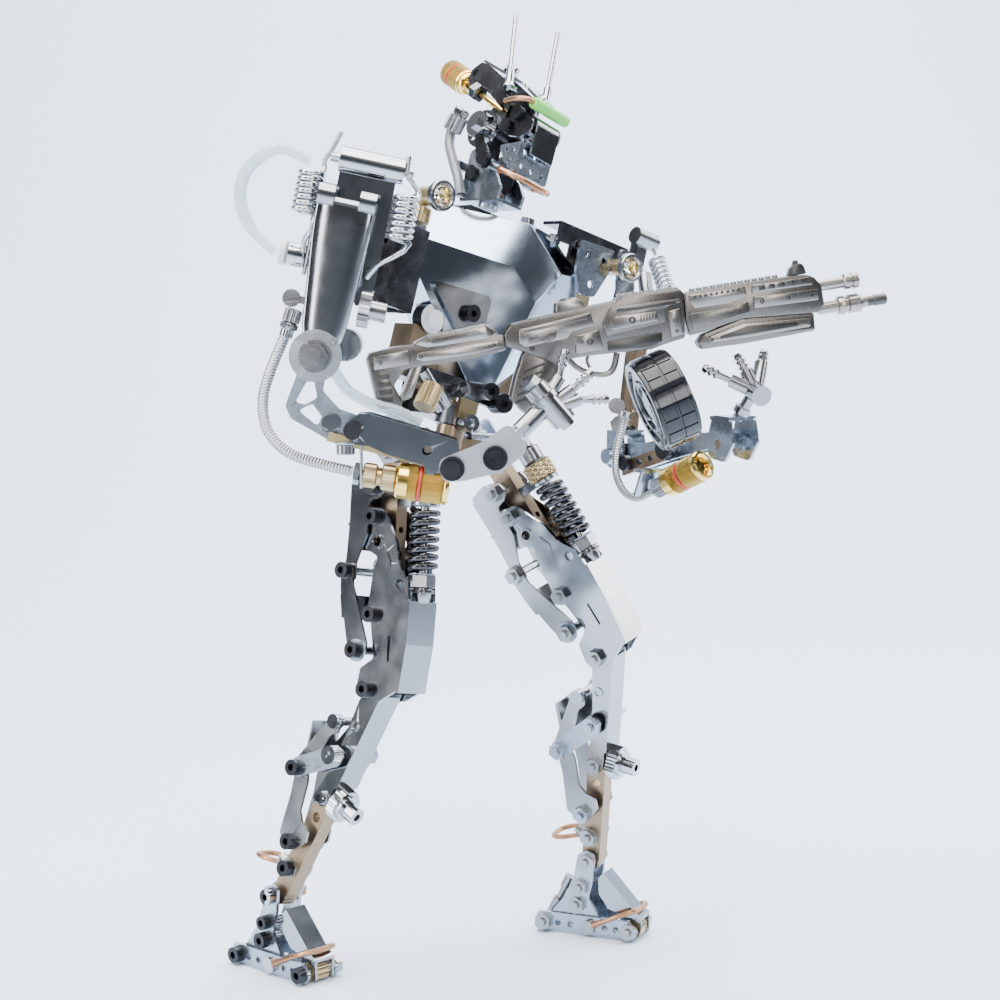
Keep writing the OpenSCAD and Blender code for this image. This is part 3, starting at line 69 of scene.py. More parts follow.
SR, SL = f_from(knee_r, knee_r - ank_r, n_r), mir(f_from(knee_l, knee_l - ank_l, n_l))
c_, s_ = math.cos, math.sin
FR = f_from(foot_r, V(0, 0, 1), V(c_(math.radians(1.5)), s_(math.radians(1.5)), 0))
FL = mir(f_from(foot_l, V(0, 0, 1), V(c_(math.radians(20.5)), s_(math.radians(20.5)), 0)))
T0 = f_roll(V(-20, 4.3, 183.7) + SH, 17, -5)
HD = f_roll(loc(T0, (0, 13, 107.5)), 20.5, 0)
ER = f_roll(V(-86, -4, 212.3) + SH, 12, -45)
VR = f_roll(V(-86, -4, 212.3) + SH, 0, -45)
VF = f_roll(V(44.3, -19.4, 173.3) + SH, 0, -98)
gx = V(0.819 * math.cos(math.radians(9)), -0.574 * math.cos(math.radians(9)), math.sin(math.radians(9)))
GF = f_from(V(-14.6, -42.5, 214.5) + SH, gx.cross(V(0.574, 0.819, 0)), gx)
W0 = (SH.copy(), V(1, 0, 0), V(0, 1, 0), V(0, 0, 1))


# ---------------- materials ----------------
def tex(nt, kind, **kw):
    n = nt.nodes.new(kind)
    for k, v in kw.items():
        if k in n.inputs: n.inputs[k].default_value = v
        else: setattr(n, k, v)
    return n
def math_n(nt, op, a, b=None):
    n = nt.nodes.new("ShaderNodeMath"); n.operation = op
    for i, x in enumerate((a, b)):
        if x is None: continue
        if isinstance(x, (int, float)): n.inputs[i].default_value = x
        else: nt.links.new(x, n.inputs[i])
    return n.outputs[0]
def material(name, col, metal=1.0, rough=0.3, grime=0.12, scale=140, bump=0.0, **kw):
    m = bpy.data.materials.new(name); m.use_nodes = True; nt = m.node_tree; b = nt.nodes["Principled BSDF"]
    b.inputs["Base Color"].default_value = (*col, 1); b.inputs["Metallic"].default_value = metal; b.inputs["Roughness"].default_value = rough
    for k, v in kw.items(): b.inputs[k].default_value = v
    tc = nt.nodes.new("ShaderNodeTexCoord")
    nz = tex(nt, "ShaderNodeTexNoise", Scale=scale, Detail=6.0, Roughness=0.6); nt.links.new(tc.outputs["Object"], nz.inputs["Vector"])
    if grime:
        mr = tex(nt, "ShaderNodeMapRange"); mr.inputs[1].default_value = 0.35; mr.inputs[2].default_value = 0.75
        mr.inputs[3].default_value = max(rough - grime * 0.35, 0.03); mr.inputs[4].default_value = rough + grime
        nt.links.new(nz.outputs["Fac"], mr.inputs[0]); nt.links.new(mr.outputs[0], b.inputs["Roughness"])
    if bump:
        bp = tex(nt, "ShaderNodeBump", Strength=bump, Distance=0.0002); nt.links.new(nz.outputs["Fac"], bp.inputs["Height"]); nt.links.new(bp.outputs[0], b.inputs["Normal"])
    return m
def bump_uv(m, fn, strength=0.6, dist=0.0003, dark=0.0):
    """height pattern from the piece's own UV; fn(nt, u, v) gives the height socket; a nonzero dark also paints shade
    into the base colour where the height is low, in the grooves
    """
    nt = m.node_tree; b = nt.nodes["Principled BSDF"]; uv = nt.nodes.new("ShaderNodeUVMap"); uv.uv_map = "UVMap"
    sp = nt.nodes.new("ShaderNodeSeparateXYZ"); nt.links.new(uv.outputs[0], sp.inputs[0])
    h = fn(nt, sp.outputs[0], sp.outputs[1])
    bp = tex(nt, "ShaderNodeBump", Strength=strength, Distance=dist); nt.links.new(h, bp.inputs["Height"]); nt.links.new(bp.outputs[0], b.inputs["Normal"])
    # painted shade: the base colour is mixed down to dark times itself where the height pattern is low, in the grooves
    # of knurls and ribs
    if dark:
        mx = nt.nodes.new("ShaderNodeMix"); mx.data_type = 'RGBA'; c = b.inputs["Base Color"].default_value[:]
        mx.inputs[6].default_value = (c[0] * dark, c[1] * dark, c[2] * dark, 1); mx.inputs[7].default_value = c
        nt.links.new(h, mx.inputs[0]); nt.links.new(mx.outputs[2], b.inputs["Base Color"])
    return m
def knurl_h(nu, nv):
    def fn(nt, u, v):
        a = math_n(nt, 'MULTIPLY', u, nu * 2 * math.pi); c = math_n(nt, 'MULTIPLY', v, nv * 2 * math.pi)
        p = math_n(nt, 'ABSOLUTE', math_n(nt, 'SINE', math_n(nt, 'MULTIPLY', math_n(nt, 'ADD', a, c), 0.5)))
        q = math_n(nt, 'ABSOLUTE', math_n(nt, 'SINE', math_n(nt, 'MULTIPLY', math_n(nt, 'SUBTRACT', a, c), 0.5)))
        return math_n(nt, 'MINIMUM', p, q)
    return fn
def rib_h(nv):
    def fn(nt, u, v):
        return math_n(nt, 'ABSOLUTE', math_n(nt, 'SINE', math_n(nt, 'MULTIPLY', v, nv * math.pi)))
    return fn

M = {}
M["nickel"] = material("nickel", (0.36, 0.37, 0.39), 1, 0.13, 0.05, 60)
M["nickel_dark"] = material("nickel_dark", (0.27, 0.28, 0.30), 1, 0.13, 0.06, 90)
M["dark_nickel"] = material("dark_nickel", (0.13, 0.13, 0.14), 1, 0.24, 0.12)
M["chrome"] = material("chrome", (0.50, 0.51, 0.53), 1, 0.1, 0.04)
M["steel"] = material("steel", (0.33, 0.33, 0.34), 1, 0.22, 0.06)
M["zinc"] = material("zinc", (0.36, 0.40, 0.46), 1, 0.26, 0.06, 220, 0.04)
M["bronze"] = material("bronze", (0.30, 0.22, 0.145), 1, 0.32, 0.08, 200, 0.06)
# brass and gold knurls, and the hose ribs below: the last bump_uv argument paints shade into the grooves
M["brass"] = bump_uv(material("brass", (0.72, 0.55, 0.30), 1, 0.3, 0.0), knurl_h(26, 3), 0.9, 0.0005, 0.45)
M["brass_flat"] = material("brass_flat", (0.50, 0.38, 0.20), 1, 0.3, 0.14)
M["gold"] = bump_uv(material("gold", (0.98, 0.66, 0.16), 1, 0.2, 0.0), knurl_h(40, 14), 0.9, 0.0005, 0.5)
M["gold_flat"] = material("gold_flat", (1.0, 0.68, 0.18), 1, 0.14, 0.08)
M["amber"] = material("amber", (0.75, 0.36, 0.05), 1, 0.18, 0.08)
M["copper"] = material("copper", (0.40, 0.20, 0.11), 1, 0.32, 0.16)
M["black_screw"] = material("black_screw", (0.035, 0.035, 0.04), 0.9, 0.3, 0.14)
M["gunmetal"] = material("gunmetal", (0.20, 0.185, 0.17), 1, 0.28, 0.05, 1500, 0.04)
M["gun_light"] = material("gun_light", (0.34, 0.315, 0.29), 1, 0.24, 0.05, 1500, 0.04)
M["gun_dark"] = material("gun_dark", (0.10, 0.095, 0.09), 1, 0.33, 0.05, 1500, 0.04)
M["gloss_black"] = material("gloss_black", (0.008, 0.009, 0.012), 0, 0.1, 0.05, 60)
M["green"] = material("green", (0.18, 0.62, 0.10), 0, 0.35, 0.1)
M["red"] = material("red", (0.6, 0.02, 0.02), 0, 0.35, 0.05)
M["washer"] = material("washer", (0.40, 0.42, 0.45), 0.95, 0.3, 0.05, 300, 0.03)
M["white_zinc"] = material("white_zinc", (0.54, 0.56, 0.58), 0.85, 0.32, 0.05, 300, 0.03)
M["white"] = material("white", (0.75, 0.76, 0.77), 0, 0.35, 0.08)
M["clear"] = material("clear", (0.86, 0.93, 0.95), 0, 0.12, 0.0, **{"Transmission Weight": 0.75, "IOR": 1.4})
M["crystal"] = material("crystal", (1.0, 0.97, 0.85), 0, 0.02, 0.0, **{"Transmission Weight": 1.0, "IOR": 1.6})
M["hose"] = bump_uv(material("hose", (0.50, 0.50, 0.50), 1, 0.3, 0.0), rib_h(1.0), 0.7, 0.0004, 0.5)
M["hose_dark"] = material("hose_dark", (0.20, 0.21, 0.22), 0.3, 0.2, 0.1)
M["spring_dark"] = material("spring_dark", (0.07, 0.07, 0.075), 1, 0.2, 0.1)


# ---------------- mesh builder ----------------
class Build:
    def __init__(self): self.v, self.f, self.m, self.uv, self.mats = [], [], [], [], []
    def mi(self, name):
        if name not in self.mats: self.mats.append(name)
        return self.mats.index(name)
    def face(self, idx, mat, uv=None):
        self.f.append(idx); self.m.append(self.mi(mat)); self.uv.append(uv or [(0, 0)] * len(idx))
    def grid(self, rows, mat, closed=True, caps=False, vv=None):
        """rows: list of rings of points in mm, all the same length"""
        base = len(self.v); n = len(rows[0])
        for r in rows: self.v += [p * MM for p in r]
        for i in range(len(rows) - 1):
            v0, v1 = (vv[i], vv[i + 1]) if vv else (i, i + 1)
            for k in range(n if closed else n - 1):
                k2 = (k + 1) % n
                self.face([base + i * n + k, base + i * n + k2, base + (i + 1) * n + k2, base + (i + 1) * n + k], mat if isinstance(mat, str) else mat[i],
                          [(k / n, v0), ((k + 1) / n, v0), ((k + 1) / n, v1), (k / n, v1)])
        if caps:
            m0 = mat if isinstance(mat, str) else mat[0]; m1 = mat if isinstance(mat, str) else mat[-1]
            self.face([base + k for k in range(n)][::-1], m0); self.face([base + (len(rows) - 1) * n + k for k in range(n)], m1)
    def lathe(self, f, prof, mat, n=40, scale_v=1.0):
        """prof: (r, z) or (r, z, hexflag) points; closed onto the axis where r is 0"""
        rows, vv, acc = [], [], 0
        for i, q in enumerate(prof):
            if i: acc += math.hypot(prof[i][0] - prof[i - 1][0], prof[i][1] - prof[i - 1][1])
            vv.append(acc * scale_v); row = []
            for k in range(n):
                a = 2 * math.pi * k / n; r = q[0]
                if len(q) > 2 and q[2]:
                    t = math.degrees(a) % 60 - 30; r = q[0] / math.cos(math.radians(t))
                row.append(loc(f, (r * math.cos(a), r * math.sin(a), q[1])))
            rows.append(row)
        self.grid(rows, mat, True, True, vv)
    def cyl(self, f, z0, z1, r, mat, n=40, c=0.25):
        c = min(c, r * 0.4, (z1 - z0) * 0.3)
        self.lathe(f, [(r - c, z0), (r, z0 + c), (r, z1 - c), (r - c, z1)], mat, n)
    def ring(self, f, z0, z1, ro, ri, mat, n=40, c=0.2):
        self.lathe_closed(f, [(ro - c, z0), (ro, z0 + c), (ro, z1 - c), (ro - c, z1), (ri + c, z1), (ri, z1 - c), (ri, z0 + c), (ri + c, z0)], mat, n)
    def lathe_closed(self, f, prof, mat, n=40):
        rows = []
        for q in prof + prof[:1]:
            rows.append([loc(f, (q[0] * math.cos(2 * math.pi * k / n), q[0] * math.sin(2 * math.pi * k / n), q[1])) for k in range(n)])
        self.grid(rows, mat)
    def nut(self, f, z0, h, af, mat, ch=0.35):
        R = af / 2
        self.lathe(f, [(R * 0.9, z0), (R, z0 + ch, 1), (R, z0 + h - ch, 1), (R * 0.9, z0 + h), (R * 0.5, z0 + h), (R * 0.45, z0 + h - 0.4)], mat, 36)
    def screw(self, f, r=2.75, h=2.8, mat="black_screw", inner=None, hexr=1.25):
        """socket cap head standing on z 0"""
        i = inner or mat
        self.lathe(f, [(r, -0.02), (r, h * 0.75), (r - 0.35, h), (hexr * 1.25, h), (hexr, h - 0.15, 1), (hexr, h - 1.7, 1), (0.2, h - 1.9)], [mat, mat, mat, mat, i, i], 36)
    def knurl(self, f, z0, z1, r, mat, teeth=30, d=0.35, n=None, bore=0):
        c = 0.5; N = teeth * 4; rows = []
        for rr, z in ((r - 0.7, z0), (r, z0 + c), (r, z1 - c), (r - 0.7, z1)):
            rows.append([loc(f, ((rr - d * (0.5 - 0.5 * math.cos(teeth * 2 * math.pi * k / N))) * math.cos(2 * math.pi * k / N), (rr - d * (0.5 - 0.5 * math.cos(teeth * 2 * math.pi * k / N))) * math.sin(2 * math.pi * k / N), z)) for k in range(N)])
        self.grid(rows, mat, True, True)
    def tube(self, P, r, mat, n=20, uvs=1.0, caps=True, s0=None):
        P = [Vector(p) for p in P]; rows, vv, acc = [], [], 0
        t = (P[1] - P[0]).normalized(); a = perp(s0 or (V(0.3, 0.8, 0.5) if abs(t.z) > 0.9 else V(0, 0, 1)), t).normalized()
        for i, p in enumerate(P):
            t = (P[min(i + 1, len(P) - 1)] - P[max(i - 1, 0)]).normalized(); a = perp(a, t).normalized(); b = t.cross(a)
            if i: acc += (p - P[i - 1]).length
            vv.append(acc * uvs); rr = r[i] if isinstance(r, list) else r
            rows.append([p + (a * math.cos(2 * math.pi * k / n) + b * math.sin(2 * math.pi * k / n)) * rr for k in range(n)])
        self.grid(rows, mat, True, caps, vv)
    def slab(self, f, P, y0, y1, mat, bev=0.4, axis='y', side=None):
        """outline P in the frame's x, z carried from y0 to y1 with chamfered rims; axis 'x' takes y, z outlines carried along x"""
        P = [Vector((p[0], p[1])) for p in P]; n = len(P)
        ar = sum(P[i].x * P[(i + 1) % n].y - P[(i + 1) % n].x * P[i].y for i in range(n))
        if ar < 0: P = P[::-1]
        def inset(d):
            out = []
            for i in range(n):
                a, b, c = P[i - 1], P[i], P[(i + 1) % n]; u = (b - a).normalized(); w = (c - b).normalized()
                nu, nw = Vector((-u.y, u.x)), Vector((-w.y, w.x)); s = nu + nw
                k = max(1 + nu.dot(nw), 0.35)
                out.append(b + s * (d / k))
            return out
        put = (lambda p, y: loc(f, (p[0], y, p[1]))) if axis == 'y' else (lambda p, y: loc(f, (y, p[0], p[1])))
        I = inset(bev); J = inset(bev * 0.3)
        rows = [[put(p, y0) for p in I], [put(p, y0 + bev * 0.3) for p in J], [put(p, y0 + bev) for p in P], [put(p, y1 - bev) for p in P], [put(p, y1 - bev * 0.3) for p in J], [put(p, y1) for p in I]]
        self.grid(rows, mat if side is None else [mat, mat, side, mat, mat], True, True)
    def box(self, f, a, b, mat, bev=0.3):
        self.slab(f, [(a[0], a[2]), (b[0], a[2]), (b[0], b[2]), (a[0], b[2])], a[1], b[1], mat, min(bev, (b[0] - a[0]) * 0.3, (b[1] - a[1]) * 0.3, (b[2] - a[2]) * 0.3))
    def make(self, name, body, replaces=(), angle=38, bevel=0.0):
        me = bpy.data.meshes.new(name); me.from_pydata([tuple(v) for v in self.v], [], self.f)
        me.polygons.foreach_set("material_index", self.m)
        uvl = me.uv_layers.new(name="UVMap"); uvl.data.foreach_set("uv", [c for u in self.uv for q in u for c in q])
        for n in self.mats: me.materials.append(M[n])
        me.validate(); me.update()
        import bmesh
        bm = bmesh.new(); bm.from_mesh(me); bmesh.ops.recalc_face_normals(bm, faces=bm.faces); bm.to_mesh(me); bm.free()
        for p in me.polygons: p.use_smooth = True
        me.set_sharp_from_angle(angle=math.radians(angle))
        o = bpy.data.objects.new(name, me); bpy.context.scene.collection.objects.link(o)
        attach(o, body)
        if replaces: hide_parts(*replaces)
        if bevel:
            b = o.modifiers.new("bev", 'BEVEL'); b.width = bevel * MM; b.segments = 3; b.limit_method = 'ANGLE'; b.angle_limit = math.radians(25)
        return o


def smooth(P, m=8):
    P = [Vector(p) for p in P]; out = []
    for i in range(len(P) - 1):
        a, b, c, d = P[max(i - 1, 0)], P[i], P[i + 1], P[min(i + 2, len(P) - 1)]
        for k in range(m):
            t = k / m
            out.append(0.5 * ((2 * b) + (c - a) * t + (2 * a - 5 * b + 4 * c - d) * t * t + (3 * b - a - 3 * c + d) * t ** 3))
    return out + [P[-1]]
def helix(r, w, h, turns, n=28, z0=0, closed=True):
    """centre line of a spring whose end turns lie flat"""
    out = []; N = int(turns * n)
    for i in range(N + 1):
        t = i / N * turns; e = 0.75 if closed else 0.0
        if closed:
            a = (h - 2 * w - 2 * e * 2 * w * 0.9) / (turns - 2 * e)
            z = w + (t * 2 * w * 0.9 if t < e else e * 2 * w * 0.9 + (t - e) * a if t < turns - e else h - 2 * w - (turns - t) * 2 * w * 0.9)
        else: z = w + (h - 2 * w) * i / N
        out.append(V(r * math.cos(2 * math.pi * t), r * math.sin(2 * math.pi * t), z0 + z))
    return out
def inframe(f, P): return [loc(f, p) for p in P]
def rp(P, r=1.5, n=6):
    out = []; L = len(P)
    for i in range(L):
        a, b, c = Vector(P[i - 1][:2]), Vector(P[i][:2]), Vector(P[(i + 1) % L][:2])
        u, v = (a - b), (c - b); lu, lv = u.length, v.length; u.normalize(); v.normalize()
        g = math.acos(max(-1, min(1, u.dot(v))))
        if g > math.radians(172): out.append(b); continue
        t = min(r / math.tan(g / 2), 0.45 * min(lu, lv)); rr = t * math.tan(g / 2); o = b + (u + v).normalized() * (rr / math.sin(g / 2))
        p0, p1 = b + u * t - o, b + v * t - o; a0, a1 = math.atan2(p0.y, p0.x), math.atan2(p1.y, p1.x)
        d = a1 - a0
        if d > math.pi: d -= 2 * math.pi
        if d < -math.pi: d += 2 * math.pi
        out += [o + Vector((math.cos(a0 + d * k / n), math.sin(a0 + d * k / n))) * rr for k in range(n + 1)]
    return out


# ---------------- CAD nodes: finishes by region, softened edges ----------------
def paint(node, base, f=None, rules=(), bev=0.16, angle=35):
    o = NODES[node]; me = o.data; me.materials.clear(); names = [base]
    me.materials.append(M[base])
    for _, mt in rules:
        if mt not in names: names.append(mt); me.materials.append(M[mt])
    if rules:
        inv = Matrix((f[1], f[2], f[3]))
        for p in me.polygons:
            q = inv @ (Vector(p.center) / MM - f[0]); nn = inv @ p.normal
            p.material_index = 0
            for test, mt in rules:
                if test(q.x, q.y, q.z, nn): p.material_index = names.index(mt); break
    else:
        for p in me.polygons: p.material_index = 0
    if bev:
        w = o.modifiers.new("weld", 'WELD'); w.merge_threshold = 2e-6
        b = o.modifiers.new("bev", 'BEVEL'); b.width = bev * MM; b.segments = 2; b.limit_method = 'ANGLE'; b.angle_limit = math.radians(angle); b.harden_normals = False
        b.use_clamp_overlap = True
        wn = o.modifiers.new("flat", 'WEIGHTED_NORMAL'); wn.mode = 'FACE_AREA'; wn.keep_sharp = True


def near(y0, z0, r): return lambda x, y, z: (y - y0) ** 2 + (z - z0) ** 2 < r * r
BLK = "black_screw"
for sd, T, S, F in (("right", TR, SR, FR), ("left", TL, SL, FL)):
    out = 1
    hk = lambda y0, z0, r, x0: (lambda x, y, z, n: abs(x) > x0 and (y - y0) ** 2 + (z - z0) ** 2 < r * r)
    shell = "nickel_dark" if sd == "right" else "nickel"
    paint("thigh_shell_" + sd, shell, bev=0.3)
    paint("thigh_links_" + sd, "steel" if sd == "left" else "nickel_dark", T, [(lambda x, y, z, n: abs(x) > 9.2 or abs(x) > 9.0 and (y - 3.1) ** 2 + (z + 54.7) ** 2 < 16, "zinc")], 0.2)
    paint("thigh_bar_" + sd, "bronze", T, [
        (lambda x, y, z, n: x > 5 and abs(x) > 6, "steel"),
        (lambda x, y, z, n: x < -6.9, BLK), (lambda x, y, z, n: abs(x) > 2.7 and (y * y + z * z < 10), "zinc"), (lambda x, y, z, n: abs(x) > 2.7, "steel")])
    paint("shin_channel_" + sd, "nickel" if sd == "right" else "nickel", bev=0.3)
    paint("shin_links_" + sd, "steel", S, [
        (lambda x, y, z, n: x < -8.05 and (y + 0.7) ** 2 + (z + 25.3) ** 2 < 12, "chrome"), (lambda x, y, z, n: x < -8.05 or (x < -6.0 and (y - 2) ** 2 + (z + 61.6) ** 2 < 8.2), BLK),
        (lambda x, y, z, n: abs(x) > 6.9, "zinc")], 0.2)
    paint("shin_bar_" + sd, "bronze", S, [
        (lambda x, y, z, n: y < -5.2 or (y < -4.4 and abs(x) < 1.6), "chrome"),
        (lambda x, y, z, n: x < -5.02 and (y + 1) ** 2 + (z + 42) ** 2 < 9, "chrome"),
        (lambda x, y, z, n: y > 3.0 and z < -70.5 and (abs(x) > 1.4 or y > 7) and not (y < 6 and abs(abs(x) - 2.6) < 1.6), "copper"),
        (lambda x, y, z, n: y > 2.82 and z < -69, "steel"),
        (lambda x, y, z, n: x < -3.6, BLK), (lambda x, y, z, n: abs(x) > 2.85, "steel")])
    paint("foot_frame_" + sd, "zinc", F, [
        (lambda x, y, z, n: y < -2.6 and (abs(x) > 7.0 or y < -16.2 and z > 7.3) and (z - 3.6) ** 2 + (y + 17) ** 2 > 9 and z > 3.4, "copper"),
        (lambda x, y, z, n: x < -6.85 and y > 0, "chrome" if sd == "left" else BLK), (lambda x, y, z, n: x < -6.85 and y < -10, "chrome" if sd == "left" else BLK),
        (lambda x, y, z, n: x < -6.85, "chrome"),
        (lambda x, y, z, n: x < -5.62 and z > 8, BLK), (lambda x, y, z, n: abs(x) < 3.5 and y < -13, "brass_flat"), (lambda x, y, z, n: abs(x) > 6.85 or (abs(x) > 5.62 and z > 8) or abs(x) < 4.3, "steel")], 0.2)
    paint("foot_cover_" + sd, "nickel", bev=0.25)

paint("pelvis_block", "bronze", bev=0.4)
paint("pelvis_frame", "zinc")
paint("torso_frame", "dark_nickel", bev=0.3)
paint("chest_shell", "nickel"); paint("chest_panel", "nickel_dark", bev=0.3)
paint("shoulder_channels", "dark_nickel", T0, [(lambda x, y, z, n: 33 < x < 54 and z > 60 and y < -2.5, "zinc"), (lambda x, y, z, n: 51 < x < 64 and y < -5, "steel"), (lambda x, y, z, n: x > 59, "steel")], 0.3)
paint("shoulder_lamps", "steel", bev=0.2)
paint("torso_connectors", "brass_flat", T0, [(lambda x, y, z, n: y < -5 and 11 < z < 18, "dark_nickel"), (lambda x, y, z, n: y > -6.9 and z < 32, "bronze")], 0.25)
paint("torso_screws", BLK, T0, [(lambda x, y, z, n: y < -9.5 and -8 < x < 4 and z < 16, "chrome"), (lambda x, y, z, n: x < -19 and y < -6.9 and z > 28, "white"), (lambda x, y, z, n: x < -10 and z < 20, "steel"), (lambda x, y, z, n: z > 76, "steel")], 0.15)
paint("neck_bracket", "zinc", T0, [(lambda x, y, z, n: abs(x) > 6.05 and z < 96, BLK), (lambda x, y, z, n: abs(x) < 4.4 and z > 84, "black_screw"), (lambda x, y, z, n: abs(x) < 2.7 and z > 82.3, "chrome")], 0.25)
paint("neck_wheel", "chrome", HD, [(lambda x, y, z, n: x > -8.2, "nickel_dark")], 0.12)
paint("head_plates", "dark_nickel", HD, [(lambda x, y, z, n: x < -6.85, BLK), (lambda x, y, z, n: x > 6.85, "steel"), (lambda x, y, z, n: abs(x) < 5.5, "steel")], 0.3)
paint("head_top_plate", "chrome", HD, [(lambda x, y, z, n: z > 23.4 and -1.5 < y < 6 and n.z * 0.91 + n.y * -0.4 > 0.9 or z > 26, BLK)], 0.2)
paint("eye_block", "nickel_dark", HD, [(lambda x, y, z, n: x > 7.45, BLK), (lambda x, y, z, n: x < -5.5, BLK), (lambda x, y, z, n: abs(x) > 4.3 and y > -22.6 and abs(x) < 5.6 and (y > -13.2), "zinc")], 0.2)
paint("face_plate", "zinc", bev=0.2)
paint("jaw_loop", "copper", HD, [(lambda x, y, z, n: abs(x) > 8.9 and y > -13.5 and z > -16.5, BLK), (lambda x, y, z, n: y > -15.0, "zinc")], 0.15)
paint("visor_tube", "green", HD, [(lambda x, y, z, n: x < -7.05 or x > 10.65, "copper")], 0.3)
for n in ("antenna_right", "antenna_left"): paint(n, "chrome", bev=0.12)
paint("shoulder_frame_right", "nickel_dark", ER, [(lambda x, y, z, n: z > 57.5, "chrome")], 0.3)
paint("elbow_washer_right", "washer", VR, [(lambda x, y, z, n: y < -11.5, "steel"), (lambda x, y, z, n: y > -9.8, "steel")], 0.2)
paint("forearm_bracket_right", "zinc", bev=0.35)
paint("forearm_channel_right", "nickel", VR, [
    (lambda x, y, z, n: y < -12.5 and x > 36, BLK), (lambda x, y, z, n: y < -10.5 and (x - 11.6) ** 2 + (z + 23.4) ** 2 < 9, BLK), (lambda x, y, z, n: (x > 59 and y > -12.5) or (y < -10.45 and x > 37.5), "white_zinc"), (lambda x, y, z, n: (x - 4.4) ** 2 + (z + 21.6) ** 2 < 9.2, "chrome"),
    (lambda x, y, z, n: -7.7 < y < -5.1 and z < -23.5, "brass_flat")], 0.25)
paint("hand_right", "steel", bev=0.15)
paint("hand_left", "steel", VF, [(lambda x, y, z, n: abs(y) < 6.4 and x > 49 and z < 17.6, "zinc")], 0.15)
paint("shoulder_frame_left", "steel", bev=0.2)
paint("arm_bars_left", "bronze", VF, [(lambda x, y, z, n: z < 9.3 and abs(x) < 5, "zinc"), (lambda x, y, z, n: x > 1 and x < 5 and z < 22, "steel")], 0.2)
paint("forearm_bracket_left", "zinc", VF, [(lambda x, y, z, n: y < -4.9 and y > -7.7 and n.y < -0.5 and x > 7, "bronze"), (lambda x, y, z, n: y < -7.65, BLK)], 0.2)
for n in ("rifle_body", "rifle_stock", "rifle_barrel"): paint(n, "gunmetal", bev=0.3)
paint("rifle_drum", "gloss_black", bev=0.3)
for n, m in (("neck_hose", "hose_dark"), ("head_knob", "brass_flat"), ("shoulder_cover_right", "nickel"), ("shoulder_springs_right", "chrome"), ("air_tube_right", "clear"), ("forearm_knob_right", "gold_flat"), ("forearm_hose_right", "steel"),
             ("shoulder_springs_left", "chrome"), ("forearm_knob_left", "gold_flat"), ("forearm_hose_left", "hose_dark"), ("thigh_spring_right", "spring_dark"), ("thigh_spring_left", "spring_dark")): paint(n, m, bev=0)

# ---------------- pieces that stand for CAD nodes ----------------
M["chest"] = material("chest", (0.50, 0.57, 0.68), 1, 0.1, 0.03, 40)
PLANE = lambda f, o, rx=0, ry=0, rz=0: sub(f, o, rx, ry, rz)

# chest: one pressed shell with softly rolled creases
F_ = [[-34, 58.5], [5.5, 60.5], [18.5, 51.5], [15.5, 41], [8.5, 18.5], [-3, 17], [-28, 43], [-34, 46]]
M_ = [[-34, 72], [13, 78.5], [32, 66], [31, 46], [14, 17], [-4, 16], [-31, 42], [-36, 48]]
O_ = [[-34, 74.5], [18, 80.5], [30, 79.5], [47, 69], [48, 62], [40, 44], [18, 17], [-4, 15.5], [-33, 41], [-38, 49]]
import bmesh
def hullpiece(name, body, rep, pts, mat, w, seg=4, ang=20):
    bm = bmesh.new()
    for p in pts: bm.verts.new(Vector(p) * MM)
    r = bmesh.ops.convex_hull(bm, input=bm.verts)
    bmesh.ops.delete(bm, geom=list({g for g in r["geom_interior"] + r["geom_unused"] if isinstance(g, bmesh.types.BMVert)}), context='VERTS')
    bmesh.ops.dissolve_limit(bm, angle_limit=math.radians(2.5), verts=bm.verts, edges=bm.edges)
    me = bpy.data.meshes.new(name); bm.to_mesh(me); bm.free(); me.materials.append(M[mat])
    for p in me.polygons: p.use_smooth = True
    o = bpy.data.objects.new(name, me); bpy.context.scene.collection.objects.link(o)
    b = o.modifiers.new("bev", 'BEVEL'); b.width = w * MM; b.segments = seg; b.limit_method = 'ANGLE'; b.angle_limit = math.radians(ang); b.harden_normals = True
    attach(o, body)
    if rep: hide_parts(*rep)
    return o
hullpiece("chest_pressing", "torso", ["chest_shell"], [loc(T0, (p[0], -7, p[1])) for p in F_] + [loc(T0, (p[0], -1.4, p[1])) for p in M_] + [loc(T0, (p[0], y, p[1])) for p in O_ for y in (5.8, 6)], "chest", 1.6, 5, 14)

# legs: springs on their rods
for sd, T in (("right", TR), ("left", TL)):
    B = Build(); S = sub(T, (0, -16, 0))
    B.cyl(S, -37, 9, 1.55, "steel"); B.nut(S, -33.6, 4.5, 8, "steel"); B.lathe(S, [(2.5, -38.5), (2.7, -38.2), (3.4, -34.6), (3.3, -33.6)], "steel", 36)
    B.cyl(S, -35.2, -34, 4.2, "dark_nickel"); B.ring(S, -29.2, -28.6, 4.6, 1.7, "zinc")
    B.cyl(S, 1.6, 7.2, 4.1, "steel", 48, 0.6); B.nut(S, 7.2, 3.4, 5, "steel"); B.ring(S, -6.4, -5, 4.9, 1.7, "zinc"); B.knurl(S, -5, 1.4, 5.2, "brass", 36, 0.3)
    B.ring(S, 1.3, 1.7, 4.6, 1.7, "steel")
    B.tube(inframe(S, helix(4.15, 1.12, 22.6, 7.4, z0=-28.9)), 1.12, "spring_dark", 18)
    B.box(T, (-2.4, -12.4, -6.3), (2.4, -5.2, -3.1), "dark_nickel")
    B.make("spring_%s_leg" % sd, "thigh_" + sd, ["thigh_spring_" + sd])

